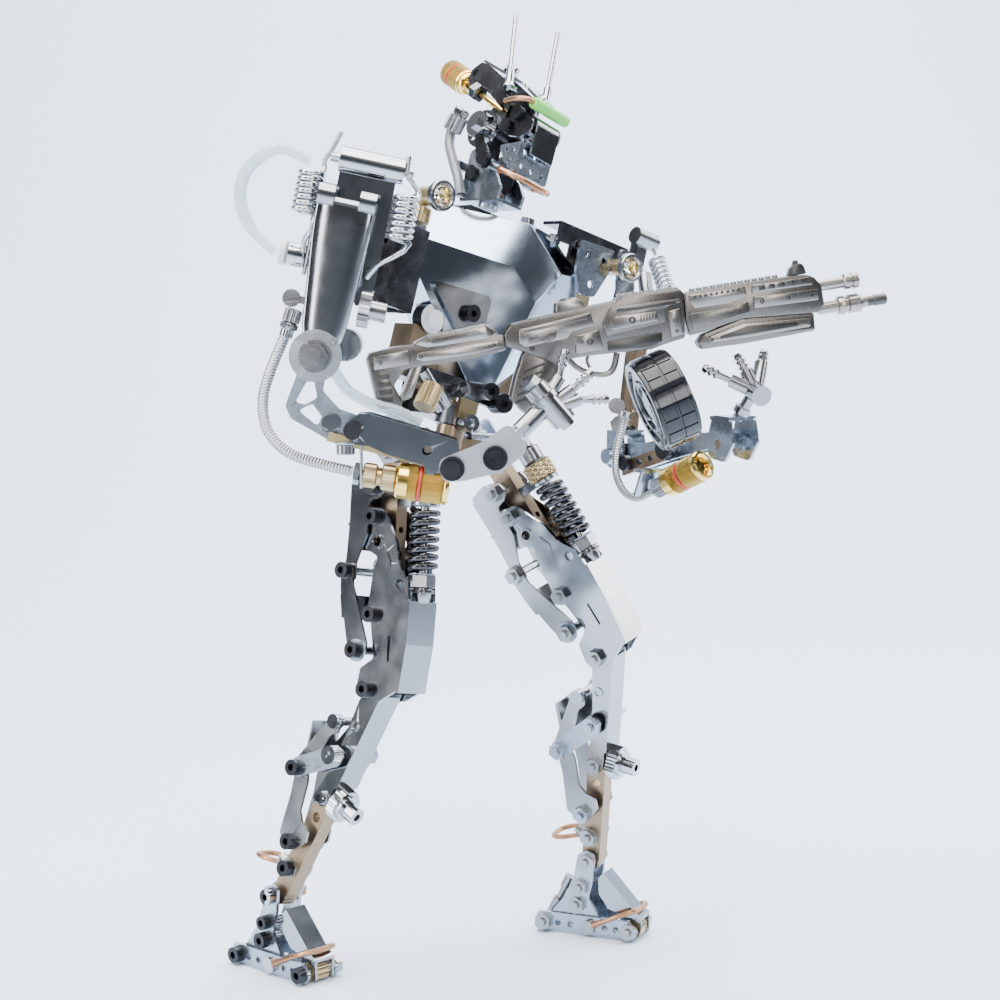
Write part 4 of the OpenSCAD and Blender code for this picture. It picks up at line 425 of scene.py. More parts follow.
# right shoulder: the rolled sheet cover and its two hooked springs
B = Build()
def covrow(z, w, dy=0.0, t=0.0):
    row = []
    for k in range(25):
        u = -1 + 2 * k / 24; x = w * math.sin(u * math.pi / 2) if abs(u) < 1 else w * u
        bulge = -9.7 - 1.5 * (1 - abs(u) ** 2.6) - dy + (abs(u) > 0.9) * 0.5
        row.append(loc(ER, (x + cen(z), bulge + t, z)))
    return row
def lerp(z, T):
    for (a, u), (b, v) in zip(T, T[1:]):
        if a <= z <= b: return u + (v - u) * (z - a) / (b - a)
    return T[0][1] if z < T[0][0] else T[-1][1]
WD = [(-1, 4), (3, 5.4), (8, 7), (40, 9.3), (50, 9.3)]
def cen(z): return 0.8 if z < 8 else lerp(z, [(8, 0.8), (40, 0)])
zs = [-1, -0.4, 1, 3, 6, 9, 14, 20, 28, 36, 42, 47, 49.4, 50]
DY = lambda z: -1.0 if z in (-1, 50) else -0.3 if z in (-0.4, 49.4) else 0
front = [covrow(z, lerp(z, WD), DY(z)) for z in zs]; back = [covrow(z, lerp(z, WD) - 0.7, DY(z), 0.9) for z in zs]
B.grid([f + b[::-1] for f, b in zip(front, back)], "nickel", True, True)
for s in (-1, 1):
    B.slab(ER, [(-9.8, 50), (-3.2, 46.6), (-3.2, 27), (-9.8, 24)], s * 8.6 - 0.5, s * 8.6 + 0.5, "nickel", 0.25, 'x')
    P = smooth(inframe(ER, [(s * 6.6, -10.6, 46.6), (s * 6.6, -12.1, 48), (s * 6.6, -12.4, 51), (s * 6.6, -10.4, 53.4), (s * 6.6, -7.4, 52.4), (s * 6.6, -6.6, 50)]), 5)
    rows = [[p + ER[1] * dx for dx in (-2.6, 2.6)] + [p + ER[1] * dx + ER[2] * 0.8 for dx in (2.6, -2.6)] for p in P]
    B.grid(rows, "nickel", True, True)
    B.screw(sub(ER, (s * 4.6, -10.6, 5.4), 90), 1.5, 0.8, "steel", None, 0.6) if s > 0 else None
B.make("cover_right_shoulder", "upper_arm_right", ["shoulder_cover_right"], angle=50)
B = Build()
for o, r, w, h, lo, hi in (((-13, -5.5, 42), 3.4, 0.85, 15, [[2.6, 1, -11], [2, 0.4, -7.5], [3.4, -1.6, -4], [3.6, -1.2, -1.4]], [[3.6, 1.4, 16], [3.2, 1, 18.4], [4.4, 0.9, 21], [5.6, 1, 24.5], [6.6, 1.2, 28]]),
                           ((18, -7, 39.5), 3.6, 0.85, 16, [[-7.6, 2, -12.5], [-5, 1, -8], [-0.6, -1.4, -4.4], [2.6, -1.8, -1.6]], [[3.4, 1.4, 17], [1, 1, 19.4], [-1.4, 0.8, 22], [-2, 1, 27.5]])):
    S = sub(ER, o); B.tube(smooth(inframe(S, lo), 6)[:-1] + inframe(S, helix(r, w, h, 7, closed=False)) + smooth(inframe(S, hi), 6)[1:], w, "chrome", 18)
B.make("springs_right_shoulder", "upper_arm_right", ["shoulder_springs_right"])
B = Build(); S = f_from(V(61.6, -23.4, 231) + SH, V(3, 9.4, 15), V(1, 0, 0))
B.tube(smooth(inframe(S, [(0.4, -0.6, -4), (1.4, -1.4, -2.6), (2.6, -1.2, -0.8)]), 6)[:-1] + inframe(S, helix(2.6, 0.75, 15, 7, closed=False)) + smooth(inframe(S, [(2.6, 1.2, 15.8), (1.6, 1, 17.6), (0.4, 0.4, 19)]), 6)[1:], 0.75, "chrome", 18)
B.make("spring_left_shoulder", "upper_arm_left", ["shoulder_springs_left"])

# clear tube: hollow, with its white ferrule
def hollow(B, P, ro, ri, mat):
    P = [Vector(p) for p in P]; t = (P[1] - P[0]).normalized(); a = perp(V(0.3, 0.8, 0.5), t).normalized(); ro_, ri_ = [], []
    for i, p in enumerate(P):
        t = (P[min(i + 1, len(P) - 1)] - P[max(i - 1, 0)]).normalized(); a = perp(a, t).normalized(); b = t.cross(a)
        for r, L in ((ro, ro_), (ri, ri_)): L.append([p + (a * math.cos(math.pi * k / 12) + b * math.sin(math.pi * k / 12)) * r for k in range(24)])
    B.grid(ro_ + ri_[::-1] + ro_[:1], mat)
B = Build()
hollow(B, smooth(inframe(VR, [(-2, 0, 61), (-12, 0, 65), (-21.6, 0, 58.6), (-24.2, 0, 49.8), (-21.2, 0, 40.2), (-13.6, 0, 32.6)]), 8), 2, 1.25, "clear")
hollow(B, smooth(inframe(VR, [(4.8, 6, -5.5), (8.6, 6, -11.3), (16.6, 6, -16.1), (24.6, 6, -18.4), (32.6, 6, -22.5)]), 8), 1.9, 1.2, "clear")
S = sub(ER, (0, 0, 29.5), 0, 90)
B.ring(S, -18.4, -16.2, 4.1, 2, "white", 40, 0.5); B.lathe(S, [(3.1, -16.4), (3.8, -15.6), (3.9, -11), (3.5, -9.8)], "chrome", 40)
B.make("air_tube", "upper_arm_right", ["air_tube_right"])

# braided hose of the right forearm and the knurled coupling at its upper end
def pathlen(P): return sum((P[i + 1] - P[i]).length for i in range(len(P) - 1))
B = Build(); P = smooth(inframe(VR, [(-9.6, -4.2, 7), (-14.7, -4, -4.8), (-17.3, -4, -14.5), (-15.8, -4, -24.2), (-9, -4.5, -31.2), (2.2, -5.6, -34.8), (11, -6, -36.8)]), 12)
B.tube(P, 1.75, "hose", 24, 1.0)
S = sub(VR, (-7, -4.6, 14.6), 0, 198); B.knurl(S, 0, 4.6, 2.9, "steel", 24, 0.25); B.nut(S, 4.6, 2.2, 5, "steel"); B.cyl(S, 6.6, 9.4, 2.2, "chrome")
B.make("braided_hose_right", "forearm_right", ["forearm_hose_right"])
B = Build(); P = smooth([V(*p) + SH for p in [(37.6, -24.6, 187), (35.2, -25, 182), (32.4, -25.4, 175), (30.2, -27.4, 167.9), (28.9, -32.3, 162.2), (28.9, -38.3, 160.4), (30, -43.5, 162.6), (30.4, -45.6, 163.8)]], 12)
B.tube(P, 1.35, "hose", 24, 1.0); S = f_from(P[0], P[0] - P[4], V(1, 0, 0)); B.knurl(S, -0.6, 2.4, 2.1, "steel", 20, 0.2)
B.make("braided_hose_left", "forearm_left", ["forearm_hose_left"])
B = Build(); P = smooth(inframe(T0, [(-9, 13.4, 82.6), (-9.8, 15.6, 88), (-10.4, 20, 94.6), (-10.4, 24.4, 101), (-10.4, 25.2, 106.6)]), 10)
B.tube(P, 1.8, "hose_dark", 24); S = sub(T0, (-10.4, 25, 105.6), 24); B.knurl(S, 0, 6.4, 3.5, "steel", 26, 0.3); B.nut(S, 6.4, 2.6, 5.6, "chrome")
B.box(T0, (-9.8, 17, 92), (-5.6, 20, 95), "dark_nickel"); B.box(T0, (-10, 12.6, 82), (-6, 16.6, 84), "dark_nickel")
B.make("neck_cable", "neck", ["neck_hose"])

# gold plugs
def plug(B, S, r, L, hole, teeth=48):
    """knurled barrel with a red band and a plain ringed mouth"""
    B.lathe(S, [(r * 0.7, 0), (r - 0.5, 0.1), (r, 0.7), (r, L * 0.22), (r - 0.25, L * 0.22 + 0.1)], "gold_flat", 64)
    B.knurl(S, L * 0.2, L * 0.42, r, "gold", teeth, 0.22); B.ring(S, L * 0.42, L * 0.47, r - 0.15, r * 0.5, "red", 64, 0.1); B.knurl(S, L * 0.47, L * 0.9, r, "gold", teeth, 0.22)
    B.lathe_closed(S, [(r - 0.1, L * 0.9), (r, L * 0.92), (r, L - 0.5), (r - 0.4, L), (hole + 0.8, L), (hole, L - 0.8), (hole, L - 6), (0.4, L - 6), (0.4, L * 0.9)], "gold_flat", 64)
    B.cyl(S, L - 6.5, L - 3.2, hole * 0.45, "gold_flat", 24); 
    for k in range(6):
        a = k * math.pi / 3; Q = sub(S, (hole * 0.8 * math.cos(a), hole * 0.8 * math.sin(a), 0)); B.cyl(Q, L - 6, L - 1.4, hole * 0.17, "amber", 10)
B = Build(); S = sub(VR, (25, -6, -39.6), 0, 98); plug(B, S, 5.8, 17, 3.4)
S = sub(VR, (14.4, -6, -37.8), 0, 98); B.knurl(S, 0, 4.6, 4, "brass_flat", 14, 0.5); B.cyl(S, 4.4, 6.2, 3, "brass_flat"); B.knurl(S, 6, 10.7, 4.2, "brass_flat", 14, 0.5)
S = sub(sub(VR, (11.4, -8.4, -37.4), 0, 98), (0, 2.4, 0)); B.nut(S, 0, 2.2, 6.2, "steel")
B.box(VR, (13.6, -9, -42), (14.4, -2.6, -27.4), "zinc"); B.box(VR, (6, -9, -28.2), (14.4, -2.6, -27.4), "zinc"); B.cyl(sub(VR, (9, -6, 0)), -31.4, -28.2, 3, "steel")
B.make("gold_plug_right", "forearm_right", ["forearm_knob_right"])
B = Build(); S = f_from(V(30.7, -50.9, 166.4) + SH, V(0, -16.2, 7.4), V(1, 0, 0)); plug(B, S, 5.2, 17.4, 3.2)
S = f_from(V(30.6, -45.4, 163.8) + SH, V(0, -6, 2.8), V(1, 0, 0)); B.knurl(S, 0, 6.6, 3.4, "steel", 22, 0.3)
B.box(sub(VF, (22.4, -16, -11.6), 0, 24), (0, 0, 0), (1.2, 9, 9.6), "zinc"); B.box(sub(VF, (23, -16, -3.6)), (0, 0, 0), (6, 9, 1.2), "zinc")
B.make("gold_plug_left", "forearm_left", ["forearm_knob_left"])
B = Build(); S = sub(HD, (0, 32.6, 26), 116); B.knurl(S, 0, 4.4, 4.8, "gold", 44, 0.2); B.ring(S, 4.4, 5, 4.7, 2, "red", 48, 0.08); B.knurl(S, 5, 11.2, 4.8, "gold", 44, 0.2)
B.lathe(S, [(4.7, 11.1), (4.5, 11.8), (4.1, 11.9), (4.1, 12.6), (3.6, 13.3), (2.6, 13.5), (2.5, 21.2), (2.2, 21.4)], "gold_flat", 48)
S = sub(HD, (-8.2, 4, 11.9), 117); B.lathe(S, [(0.9, -0.5), (1.2, 0), (1.2, 9.6), (0.55, 13.4), (0.4, 14.6)], "gold_flat", 28); B.nut(S, -4, 4, 5.6, "dark_nickel")
B.make("gold_plug_head", "head", ["head_knob"])

# visor sleeve, lamps
B = Build(); S = sub(HD, (0, -22, 8), 0, 90)
B.lathe(S, [(1.2, -7.1), (1.9, -7), (2.1, -6.4), (2.1, 9.9), (1.9, 10.6), (1.2, 10.7)], "green", 36)
P = smooth(inframe(HD, [(-9.6, -11, 8), (-10.6, -15, 8), (-10.6, -19, 8), (-9.4, -21.6, 8), (-7, -22, 8)]), 6); B.tube(P, 1.0, "copper", 20); B.cyl(S, 10.6, 11.4, 0.9, "copper", 20)
B.make("visor_sleeve", "head", ["visor_tube"])
B = Build()
for L in ((-40.5, -17, 71), (55, -9, 75.5)):
    S = sub(T0, L, 90)
    B.lathe_closed(S, [(5.2, 0.3), (5.2, 2.1), (4.9, 2.6), (4.1, 2.6), (3.5, 1.7), (3.4, 0.4), (3.4, 0), (4.9, 0)], "steel", 48)
    B.lathe(S, [(3.4, 0.2), (2.4, -0.6), (0.2, -1.4)], "gold_flat", 12)
    B.lathe(S, [(0.4, 0.1), (3.3, 1.5), (3.1, 1.9), (1.9, 2.6), (1.7, 2.6)], "crystal", 10)
    B.cyl(S, -9 if L[0] < 0 else -5, -1.4, 3.4, "brass_flat", 36)
B.make("shoulder_glasses", "torso", ["shoulder_lamps"], angle=12)

# drum magazine
B = Build(); S = sub(sub(GF, (31.6, -1, -23.6), 0, 76), (0, 0, -6.75)); R = 16.2
for r0, z0, z1 in ((R, 0, 13.5),):
    B.lathe_closed(S, [(R - 1.1, 0), (R - 0.6, 0.35), (R - 0.6, 13.1), (R - 1.1, 13.5), (0.2, 13.5), (0.2, 1.1), (R - 8.6, 1.1), (R - 8.9, 0.4), (R - 9.6, 0.2), (R - 10, 0.5), (R - 10.2, 1.1)][:5] + [(0.2, 1.0)] + [(R - 8.4, 1.0), (R - 8.0, 0.2), (R - 7.0, 0.2), (R - 6.6, 0.9), (R - 3.4, 0.9), (R - 3.0, 0.15), (R - 1.8, 0)], "gloss_black", 96)
for k in range(20):
    a0, a1 = (k + 0.06) * 2 * math.pi / 20, (k + 0.94) * 2 * math.pi / 20; rows = []
    for r, z in ((R - 0.8, 1.2), (R - 0.12, 1.6), (R - 0.12, 6.2), (R - 0.45, 6.4), (R - 0.45, 7.2), (R - 0.12, 7.4), (R - 0.12, 12), (R - 0.8, 12.4)): rows.append([loc(S, (r * math.cos(a0 + (a1 - a0) * t / 4), r * math.sin(a0 + (a1 - a0) * t / 4), z)) for t in range(5)])
    B.grid(rows, "gloss_black", False)
for a in (20, 140, 260):
    a = math.radians(a); P = [loc(S, ((4.5 + 2.4 * t) * math.cos(a + t * 0.55), (4.5 + 2.4 * t) * math.sin(a + t * 0.55), 0.9)) for t in [i / 3 for i in range(10)]]; B.tube(P, [0.3 + 0.55 * math.sin(math.pi * i / 9) for i in range(10)], "dark_nickel", 10)
B.make("drum_magazine", "drum", ["rifle_drum"], angle=32)

# rifle: layered castings
def both_sides(B, P, t0, t1, mat, bev=0.3, r=0.6, side=None):
    for s in (-1, 1):
        a, b = sorted((s * t0, s * t1)); B.slab(GF, rp(P, r, 4), a, b, mat, bev)
def gs(B, x, z, r=0.9, y=3.9, h=0.45, mat="gun_dark"):
    for s in (-1, 1):
        S = sub(GF, (x, s * y, z), 90 if s < 0 else -90); B.screw(S, r, h, mat, None, r * 0.4)
B = Build()
B.slab(GF, rp([[-18.2, 6.7], [-15.3, 9.6], [-1.3, 10.6], [19.9, 11.6], [22.6, 13.0], [42.2, 12.0], [43.2, 10.4], [42.2, 1], [41.6, -4.4], [34.1, -5.4], [29.6, -6.2], [21.2, -5.8], [18.6, -5.4], [7.4, -4.9], [0.7, -4.9], [-3, -6], [-12.8, -0.1], [-18.4, 2.8]], 0.8, 4), -2.9, 2.9, "gunmetal", 0.45)
B.slab(GF, rp([[-7.2, -16.3], [-10.6, -20.7], [-15.6, -20.2], [-19.4, -14.2], [-16.6, -7.4], [-12.8, -0.1], [-6, 0], [0.7, -4.9]], 1.6, 5), -2.6, 2.6, "gunmetal", 0.8)
for i in range(5):
    x, z = -10.2 - i * 1.1, -6.4 - i * 2.4; both_sides(B, [[x - 3.6, z - 0.6], [x + 3.8, z + 1.2], [x + 3.8, z + 2], [x - 3.6, z + 0.4]], 2.4, 2.95, "gun_dark", 0.12, 0.2)
for s in (-1, 1): B.tube(smooth([loc(GF, p) for p in ((1.6, s * 0.9, -4.6), (5, s * 0.9, -8.6), (9.4, s * 0.9, -11), (13.8, s * 0.9, -12), (16.6, s * 0.9, -10.4), (18.6, s * 0.9, -5.6))], 6), 0.9, "gunmetal", 14)
B.tube(smooth([loc(GF, p) for p in ((9, 0, -4.6), (8.2, 0, -6.6), (8.8, 0, -9))], 5), 0.6, "gun_light", 10)
both_sides(B, [[-14, 3], [-13.4, 7.4], [11, 9.2], [11.6, 4.9], [4, 3.9], [2, 1.9], [-12, 1.3]], 2.8, 3.7, "gun_light", 0.3)
both_sides(B, [[-12.4, 5.9], [-12, 6.9], [9.8, 8.4], [10, 7.3]], 3.6, 4.0, "gunmetal", 0.12, 0.2)
both_sides(B, [[-11, 2.3], [-10.8, 4.4], [-1, 5], [-1.6, 2.7]], 3.6, 3.95, "gunmetal", 0.12, 0.3)
both_sides(B, [[15, 0.6], [14.6, 5.4], [18, 10], [41.6, 8.9], [41.8, 7.7], [36.4, 6.8], [35.6, 2]], 2.8, 3.75, "gunmetal", 0.35, 0.8)
both_sides(B, [[17.4, 2.2], [17, 5], [19, 6.6], [33, 6], [33, 2.8]], 3.6, 4.05, "gun_light", 0.15, 0.6)
both_sides(B, [[19.4, 7.6], [20, 8.8], [40, 8.2], [40, 7.2]], 3.7, 4.05, "gun_dark", 0.1, 0.2)
both_sides(B, [[36.8, -3.4], [37, 5.4], [41.2, 5.8], [41, -3]], 2.8, 3.5, "gun_light", 0.25, 0.5)
both_sides(B, [[4, -3.6], [5, 2.4], [13, 3.2], [13.6, -3.4]], 2.8, 3.4, "gun_light", 0.25, 0.7)
both_sides(B, [[15, -4.4], [15.4, -1.4], [34, -1], [33.6, -4.2], [29, -5.2]], 2.8, 3.4, "gun_dark", 0.2, 0.5)
for i in range(11): B.box(GF, (21.6 + i * 1.9, -1.6, 11.6), (22.6 + i * 1.9, 1.6, 13.5 - i * 0.08), "gun_light", 0.15)
B.box(GF, (20.6, -1.9, 11.2), (42, 1.9, 12.4), "gunmetal", 0.25)
B.slab(GF, rp([[-0.4, 10], [0.4, 14], [7.4, 14.8], [9.4, 12.9], [10.4, 10]], 0.6, 4), -2.3, 2.3, "gun_light", 0.4)
B.slab(GF, rp([[1.6, 13.6], [2.4, 14.9], [4, 15], [4.6, 13.6]], 0.3, 3), -1.1, 1.1, "gun_dark", 0.2)
for x, z, r in ((-10, 0.4, 0.8), (9.4, -0.4, 1.1), (6.6, 0.2, 0.7), (39, 2, 0.9), (24.4, 4.4, 1.2), (39, -1.6, 0.6)): gs(B, x, z, r, 3.3 if x != 24.4 else 4)
for i in range(6): both_sides(B, [[27 + i * 1, 3.2], [27.4 + i * 1, 5.6], [27.8 + i * 1, 5.6], [27.4 + i * 1, 3.2]], 3.95, 4.2, "gun_dark", 0.05, 0.05)
B.make("rifle_receiver", "hand_right", ["rifle_body"], angle=30)
B = Build()
B.slab(GF, rp([[-18.2, 6.2], [-23.6, 7.8], [-39.5, 8.6], [-48.2, 8.1], [-54.1, 8.4], [-62.7, 7.8], [-64.1, 5.8], [-62.9, -11.1], [-55.6, -11.4], [-54.6, -9.4], [-56.6, -4], [-52.6, 0.6], [-46.6, 0.8], [-30.8, 0.3], [-18.4, 1.5]], 0.8, 4), -2.5, 2.5, "gunmetal", 0.5)
B.slab(GF, rp([[-46, 1.4], [-51.6, -8.8], [-54.8, -9.6], [-55.2, -8], [-49.4, 1.4]], 0.5, 3), -2.1, 2.1, "gun_light", 0.35)
B.slab(GF, rp([[-20, 7.4], [-24, 11], [-43, 10.4], [-49, 8.4], [-44, 6.4], [-24, 5.8]], 0.6, 4), -3.3, 3.3, "gun_light", 0.6)
both_sides(B, [[-25, 7.9], [-27, 9.6], [-41, 9.2], [-43.6, 8], [-41, 7.2]], 3.2, 3.55, "gunmetal", 0.12, 0.4)
both_sides(B, [[-20, 2.8], [-20.4, 4.9], [-30, 5.4], [-47, 5.2], [-48.6, 3.4], [-46, 2.2], [-30, 1.7]], 2.4, 3.0, "gun_light", 0.25, 0.5)
both_sides(B, [[-50.6, 2], [-50, 6.8], [-61.8, 6.4], [-62.4, 2]], 2.4, 2.95, "gun_light", 0.25, 0.5)
for i in range(4): both_sides(B, [[-62 + i * 0.12, -1.2 - i * 2.5], [-61.9 + i * 0.12, 0.4 - i * 2.5], [-57.6 - i * 0.0, 0.2 - i * 2.5], [-57.6, -1.4 - i * 2.5]], 2.4, 2.8, "gun_dark", 0.1, 0.2)
for x, z in ((-22.4, 3.8), (-46.6, 3.9), (-60, 4.2)): gs(B, x, z, 0.7, 2.95, 0.4)
B.make("rifle_butt", "hand_right", ["rifle_stock"], angle=30)
B = Build()
B.slab(GF, rp([[43.3, 10.4], [53, 10.6], [80.7, 10.2], [86.3, 9.6], [88.4, 8.4], [90.4, 5.6], [90.6, -1], [88, -3.4], [62, -1.2], [48, -3.4], [43.3, -4], [42.8, 0.8]], 0.8, 4), -2.9, 2.9, "gunmetal", 0.45)
B.slab(GF, rp([[48, -4.0], [62, -1.0], [86.6, -3.2], [86.3, -9.2], [77.2, -9.4], [61.4, -9.5], [46.6, -9.1], [45.6, -6.6]], 0.9, 4), -3.3, 3.3, "gunmetal", 0.9)
both_sides(B, [[49, -5.2], [62, -2.4], [85.4, -4.4], [84.6, -7.6], [62, -7.8], [49, -7.4]], 3.2, 4.2, "gun_light", 0.6, 1.2)
both_sides(B, [[53, -5.6], [63, -3.7], [80, -5.2], [80, -6.6], [62, -6.6], [53, -6.6]], 4.1, 4.4, "gun_dark", 0.1, 0.3)
both_sides(B, [[44.4, 7.6], [44.6, 9.4], [64, 9.4], [64.4, 6.2], [58, 4.6], [46, 4.8]], 2.8, 3.5, "gun_light", 0.3, 0.6)
both_sides(B, [[44.4, -2], [44.4, 3.4], [60, 3.2], [64.6, 4.4], [64.6, 0.4], [60, -0.2]], 2.8, 3.35, "gunmetal", 0.25, 0.6)
both_sides(B, [[66, 1.6], [66.4, 5.6], [89, 4.6], [88.6, 0.8]], 2.8, 3.9, "gun_light", 0.3, 0.5)
both_sides(B, [[66.2, 6.6], [66.4, 9.4], [86, 9], [87.6, 6.2]], 2.8, 3.5, "gun_light", 0.3, 0.4)
for i in range(5): both_sides(B, [[68.6 + i * 3.4, 7.1], [68.8 + i * 3.4, 8.8], [70.8 + i * 3.4, 8.7], [70.8 + i * 3.4, 7.1]], 3.45, 3.7, "gun_dark", 0.08, 0.2)
for i in range(9): both_sides(B, [[46 + i * 1.9, 8.1], [46.1 + i * 1.9, 9], [47 + i * 1.9, 9], [47 + i * 1.9, 8.1]], 3.4, 3.65, "gun_dark", 0.06, 0.1)
for x, z in ((69, 3.5), (78, 3.2), (86, 2.9)): gs(B, x, z, 0.8, 3.85, 0.4)
for x, z in ((50, -6.3), (84, -6.2)): gs(B, x, z, 0.7, 4.15, 0.35)
for i in range(13): B.box(GF, (46 + i * 2.4, -1.5, 10.2), (47.4 + i * 2.4, 1.5, 11.3), "gun_light", 0.15)
B.slab(GF, rp([[79.6, 10], [80.9, 12.6], [82.6, 13.9], [85, 13.7], [85.8, 12.4], [86.3, 10]], 0.5, 4), -1.7, 1.7, "gun_dark", 0.35)
B.slab(GF, rp([[82, 13.4], [82.6, 15], [84, 15], [84.4, 13.4]], 0.3, 3), -0.6, 0.6, "gun_dark", 0.15)
S = sub(GF, (0, 0, 5.2), 0, 90); B.lathe(S, [(2, 89), (2, 98.6), (2.3, 98.8), (2.7, 99.4), (2.7, 100.8), (2.3, 101), (2.3, 101.6), (2.7, 101.8), (2.7, 103.6), (2.2, 104.2), (1.2, 104.2), (1.2, 102)], "gun_light", 36)
S = sub(GF, (0, 0, -2.4), 0, 90); B.lathe(S, [(2.1, 89), (2.1, 95.6), (3, 95.9), (3.2, 96.4), (3.2, 98), (2.6, 98.3), (2.6, 99.2), (3.2, 99.5), (3.2, 103.4), (2.8, 104), (2.1, 104.2), (2.1, 106)], "gun_light", 36)
S = sub(GF, (0, 0, -2.6), 0, 90); B.lathe(S, [(1.7, 105.6), (1.7, 108.6), (1.9, 108.8), (1.9, 112.6), (1.6, 113), (0.9, 113), (0.9, 110.6)], "gun_dark", 30)
B.make("rifle_front", "hand_right", ["rifle_barrel"], angle=30)
#END

# ---------------- stage, light, camera ----------------
def plane(name, pts, mat):
    me = bpy.data.meshes.new(name); me.from_pydata([tuple(p) for p in pts], [], [(0, 1, 2, 3)]); me.materials.append(mat)
    o = bpy.data.objects.new(name, me); bpy.context.scene.collection.objects.link(o); return o
def emis(name, col, s):
    m = bpy.data.materials.new(name); m.use_nodes = True; nt = m.node_tree; nt.nodes.clear(); e = nt.nodes.new("ShaderNodeEmission"); o = nt.nodes.new("ShaderNodeOutputMaterial")
    e.inputs[0].default_value = (*col, 1); e.inputs[1].default_value = s; nt.links.new(e.outputs[0], o.inputs[0]); return m
# floor sweeping up into a pale blue backdrop
az, el = math.radians(-45), math.radians(6)
bv = V(math.sin(az) * math.cos(el), -math.cos(az) * math.cos(el), math.sin(el)); rv = V(math.cos(az), math.sin(az), 0); hv = V(-bv.x, -bv.y, 0).normalized()
m = bpy.data.materials.new("sweep"); m.use_nodes = True; nt = m.node_tree; b = nt.nodes["Principled BSDF"]
b.inputs["Roughness"].default_value = 0.55; b.inputs["Base Color"].default_value = (0.74, 0.84, 0.98, 1); b.inputs["Specular IOR Level"].default_value = 0.25
prof = [(-0.9, 0)] + [(0.55, 0)] + [(0.55 + 0.5 * math.sin(t * math.pi / 18), 0.5 - 0.5 * math.cos(t * math.pi / 18)) for t in range(1, 10)] + [(1.05, 1.9)]
vs, fs = [], []
for d, z in prof:
    for sgn in (-1.9, 1.9): p = hv * d + rv * sgn; vs.append((p.x, p.y, z))
for i in range(len(prof) - 1): fs.append((2 * i, 2 * i + 1, 2 * i + 3, 2 * i + 2))
me = bpy.data.meshes.new("sweep"); me.from_pydata(vs, [], fs); me.materials.append(m)
for p in me.polygons: p.use_smooth = True
sweep = bpy.data.objects.new("sweep", me); bpy.context.scene.collection.objects.link(sweep)

def area(name, pos, target, sx, sy, power, col=(1, 1, 1)):
    l = bpy.data.lights.new(name, 'AREA'); l.shape = 'RECTANGLE'; l.size = sx; l.size_y = sy; l.energy = power; l.color = col
    o = bpy.data.objects.new(name, l); bpy.context.scene.collection.objects.link(o); o.location = pos
    o.rotation_euler = (Vector(target) - Vector(pos)).to_track_quat('-Z', 'Y').to_euler(); return o
tg = V(0, 0, 0.17)
cam_h = V(bv.x, bv.y, 0).normalized()
def pos(fwd, right, up): return cam_h * fwd + rv * right + V(0, 0, up)
area("key_top", pos(0.25, -0.15, 0.95), tg, 0.9, 0.7, 18, (1, 0.99, 0.97))
area("left_soft", pos(0.35, -0.85, 0.45), tg, 0.35, 0.8, 9, (0.97, 0.99, 1))
area("right_soft", pos(-0.45, 0.85, 0.35), tg, 0.2, 0.8, 5, (0.97, 0.99, 1))
area("band", pos(0.0, 0.84, 0.68), tg, 0.5, 0.22, 3.5, (0.93, 0.97, 1))
area("top_right_back", pos(-0.55, 0.42, 0.95), tg, 0.6, 0.6, 9, (0.95, 0.98, 1))
area("strip_left", pos(0.95, -0.33, 0.42), tg, 0.10, 0.8, 2.6)
area("strip_right", pos(0.90, 0.36, 0.52), tg, 0.14, 0.7, 2.6)
area("back_wash", pos(-0.35, 0.0, 1.3), V(*(cam_h * -0.9)) + V(0, 0, 0.4), 1.6, 0.6, 36, (0.95, 0.98, 1))
w = bpy.data.worlds.new("world"); bpy.context.scene.world = w; w.use_nodes = True
nt = w.node_tree; bg = nt.nodes["Background"]; bg.inputs[1].default_value = 0.42
tc = nt.nodes.new("ShaderNodeTexCoord"); sx = nt.nodes.new("ShaderNodeSeparateXYZ"); nt.links.new(tc.outputs["Generated"], sx.inputs[0])
nz = tex(nt, "ShaderNodeTexNoise", Scale=2.2, Detail=1.5); nt.links.new(tc.outputs["Generated"], nz.inputs["Vector"])
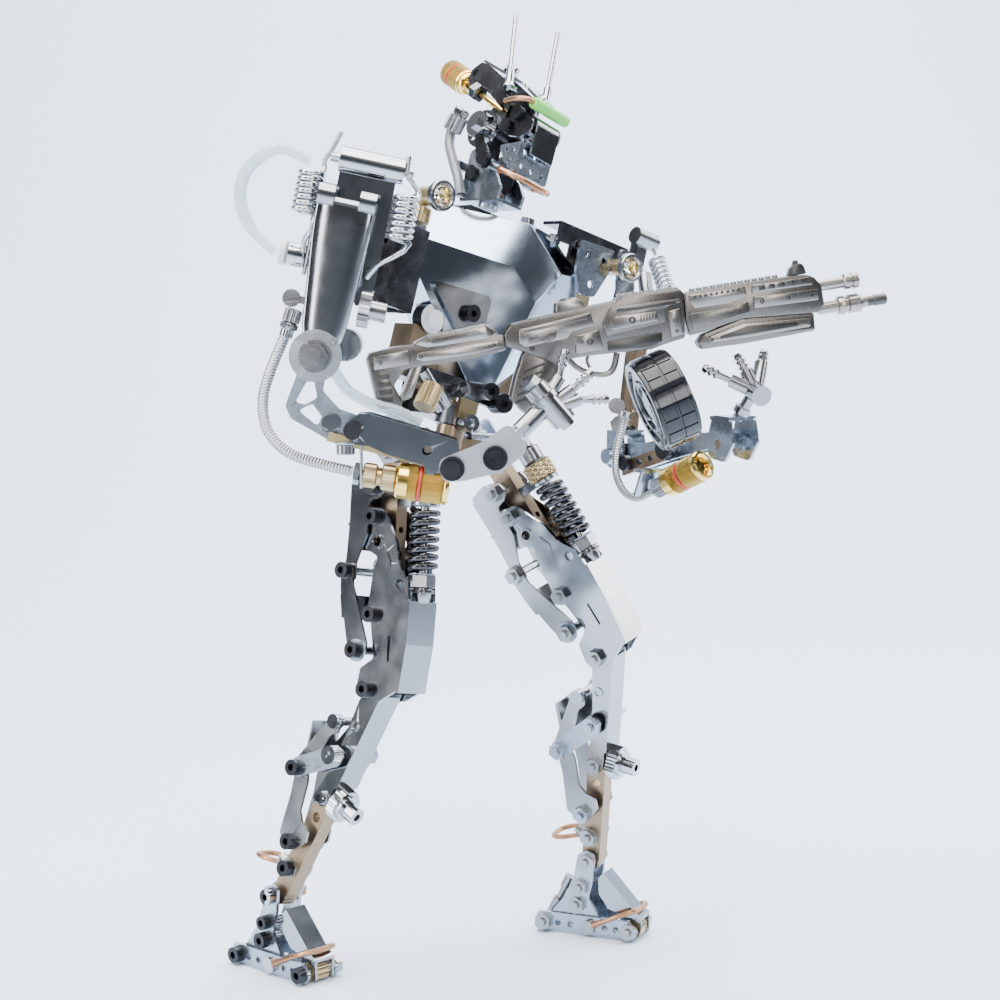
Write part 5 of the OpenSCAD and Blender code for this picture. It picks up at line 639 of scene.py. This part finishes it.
f = math_n(nt, 'ADD', math_n(nt, 'MULTIPLY', sx.outputs[2], 0.5), math_n(nt, 'MULTIPLY', nz.outputs["Fac"], 0.42))
rp_ = nt.nodes.new("ShaderNodeValToRGB"); e = rp_.color_ramp.elements
e[0].position = 0.0; e[0].color = (0.10, 0.11, 0.12, 1); e[1].position = 1.0; e[1].color = (0.9, 0.95, 1, 1)
for q, c in ((0.10, (0.22, 0.24, 0.27, 1)), (0.17, (0.50, 0.54, 0.60, 1)), (0.23, (0.12, 0.13, 0.145, 1)), (0.29, (0.36, 0.40, 0.45, 1)), (0.36, (0.06, 0.065, 0.075, 1)), (0.44, (0.24, 0.27, 0.30, 1)), (0.50, (0.95, 1.0, 1.0, 1)), (0.58, (0.25, 0.27, 0.30, 1))): n = e.new(q); n.color = c
nt.links.new(f, rp_.inputs[0]); nt.links.new(rp_.outputs[0], bg.inputs[0])
pale = nt.nodes.new("ShaderNodeBackground"); pale.inputs[0].default_value = (0.74, 0.80, 0.88, 1); pale.inputs[1].default_value = 1.0
lp = nt.nodes.new("ShaderNodeLightPath"); mxs = nt.nodes.new("ShaderNodeMixShader"); out_ = next(n for n in nt.nodes if n.type == 'OUTPUT_WORLD')
nt.links.new(lp.outputs["Is Camera Ray"], mxs.inputs[0]); nt.links.new(bg.outputs[0], mxs.inputs[1]); nt.links.new(pale.outputs[0], mxs.inputs[2]); nt.links.new(mxs.outputs[0], out_.inputs[0])
plane("far_floor", [(-5, -5, -0.0008), (5, -5, -0.0008), (5, 5, -0.0008), (-5, 5, -0.0008)], m)

cd = bpy.data.cameras.new("cam"); cd.lens = 79.2; cd.sensor_width = 36; cd.clip_start = 0.01; cd.clip_end = 20
cam = bpy.data.objects.new("cam", cd); bpy.context.scene.collection.objects.link(cam)
C = V(0, 0, 0.159) + bv * 0.770 + V(SH.x * MM, SH.y * MM, 0)
cam.matrix_world = Matrix.Translation(C) @ bv.to_track_quat('Z', 'Y').to_matrix().to_4x4()
bpy.context.scene.camera = cam
bpy.context.view_layer.update()
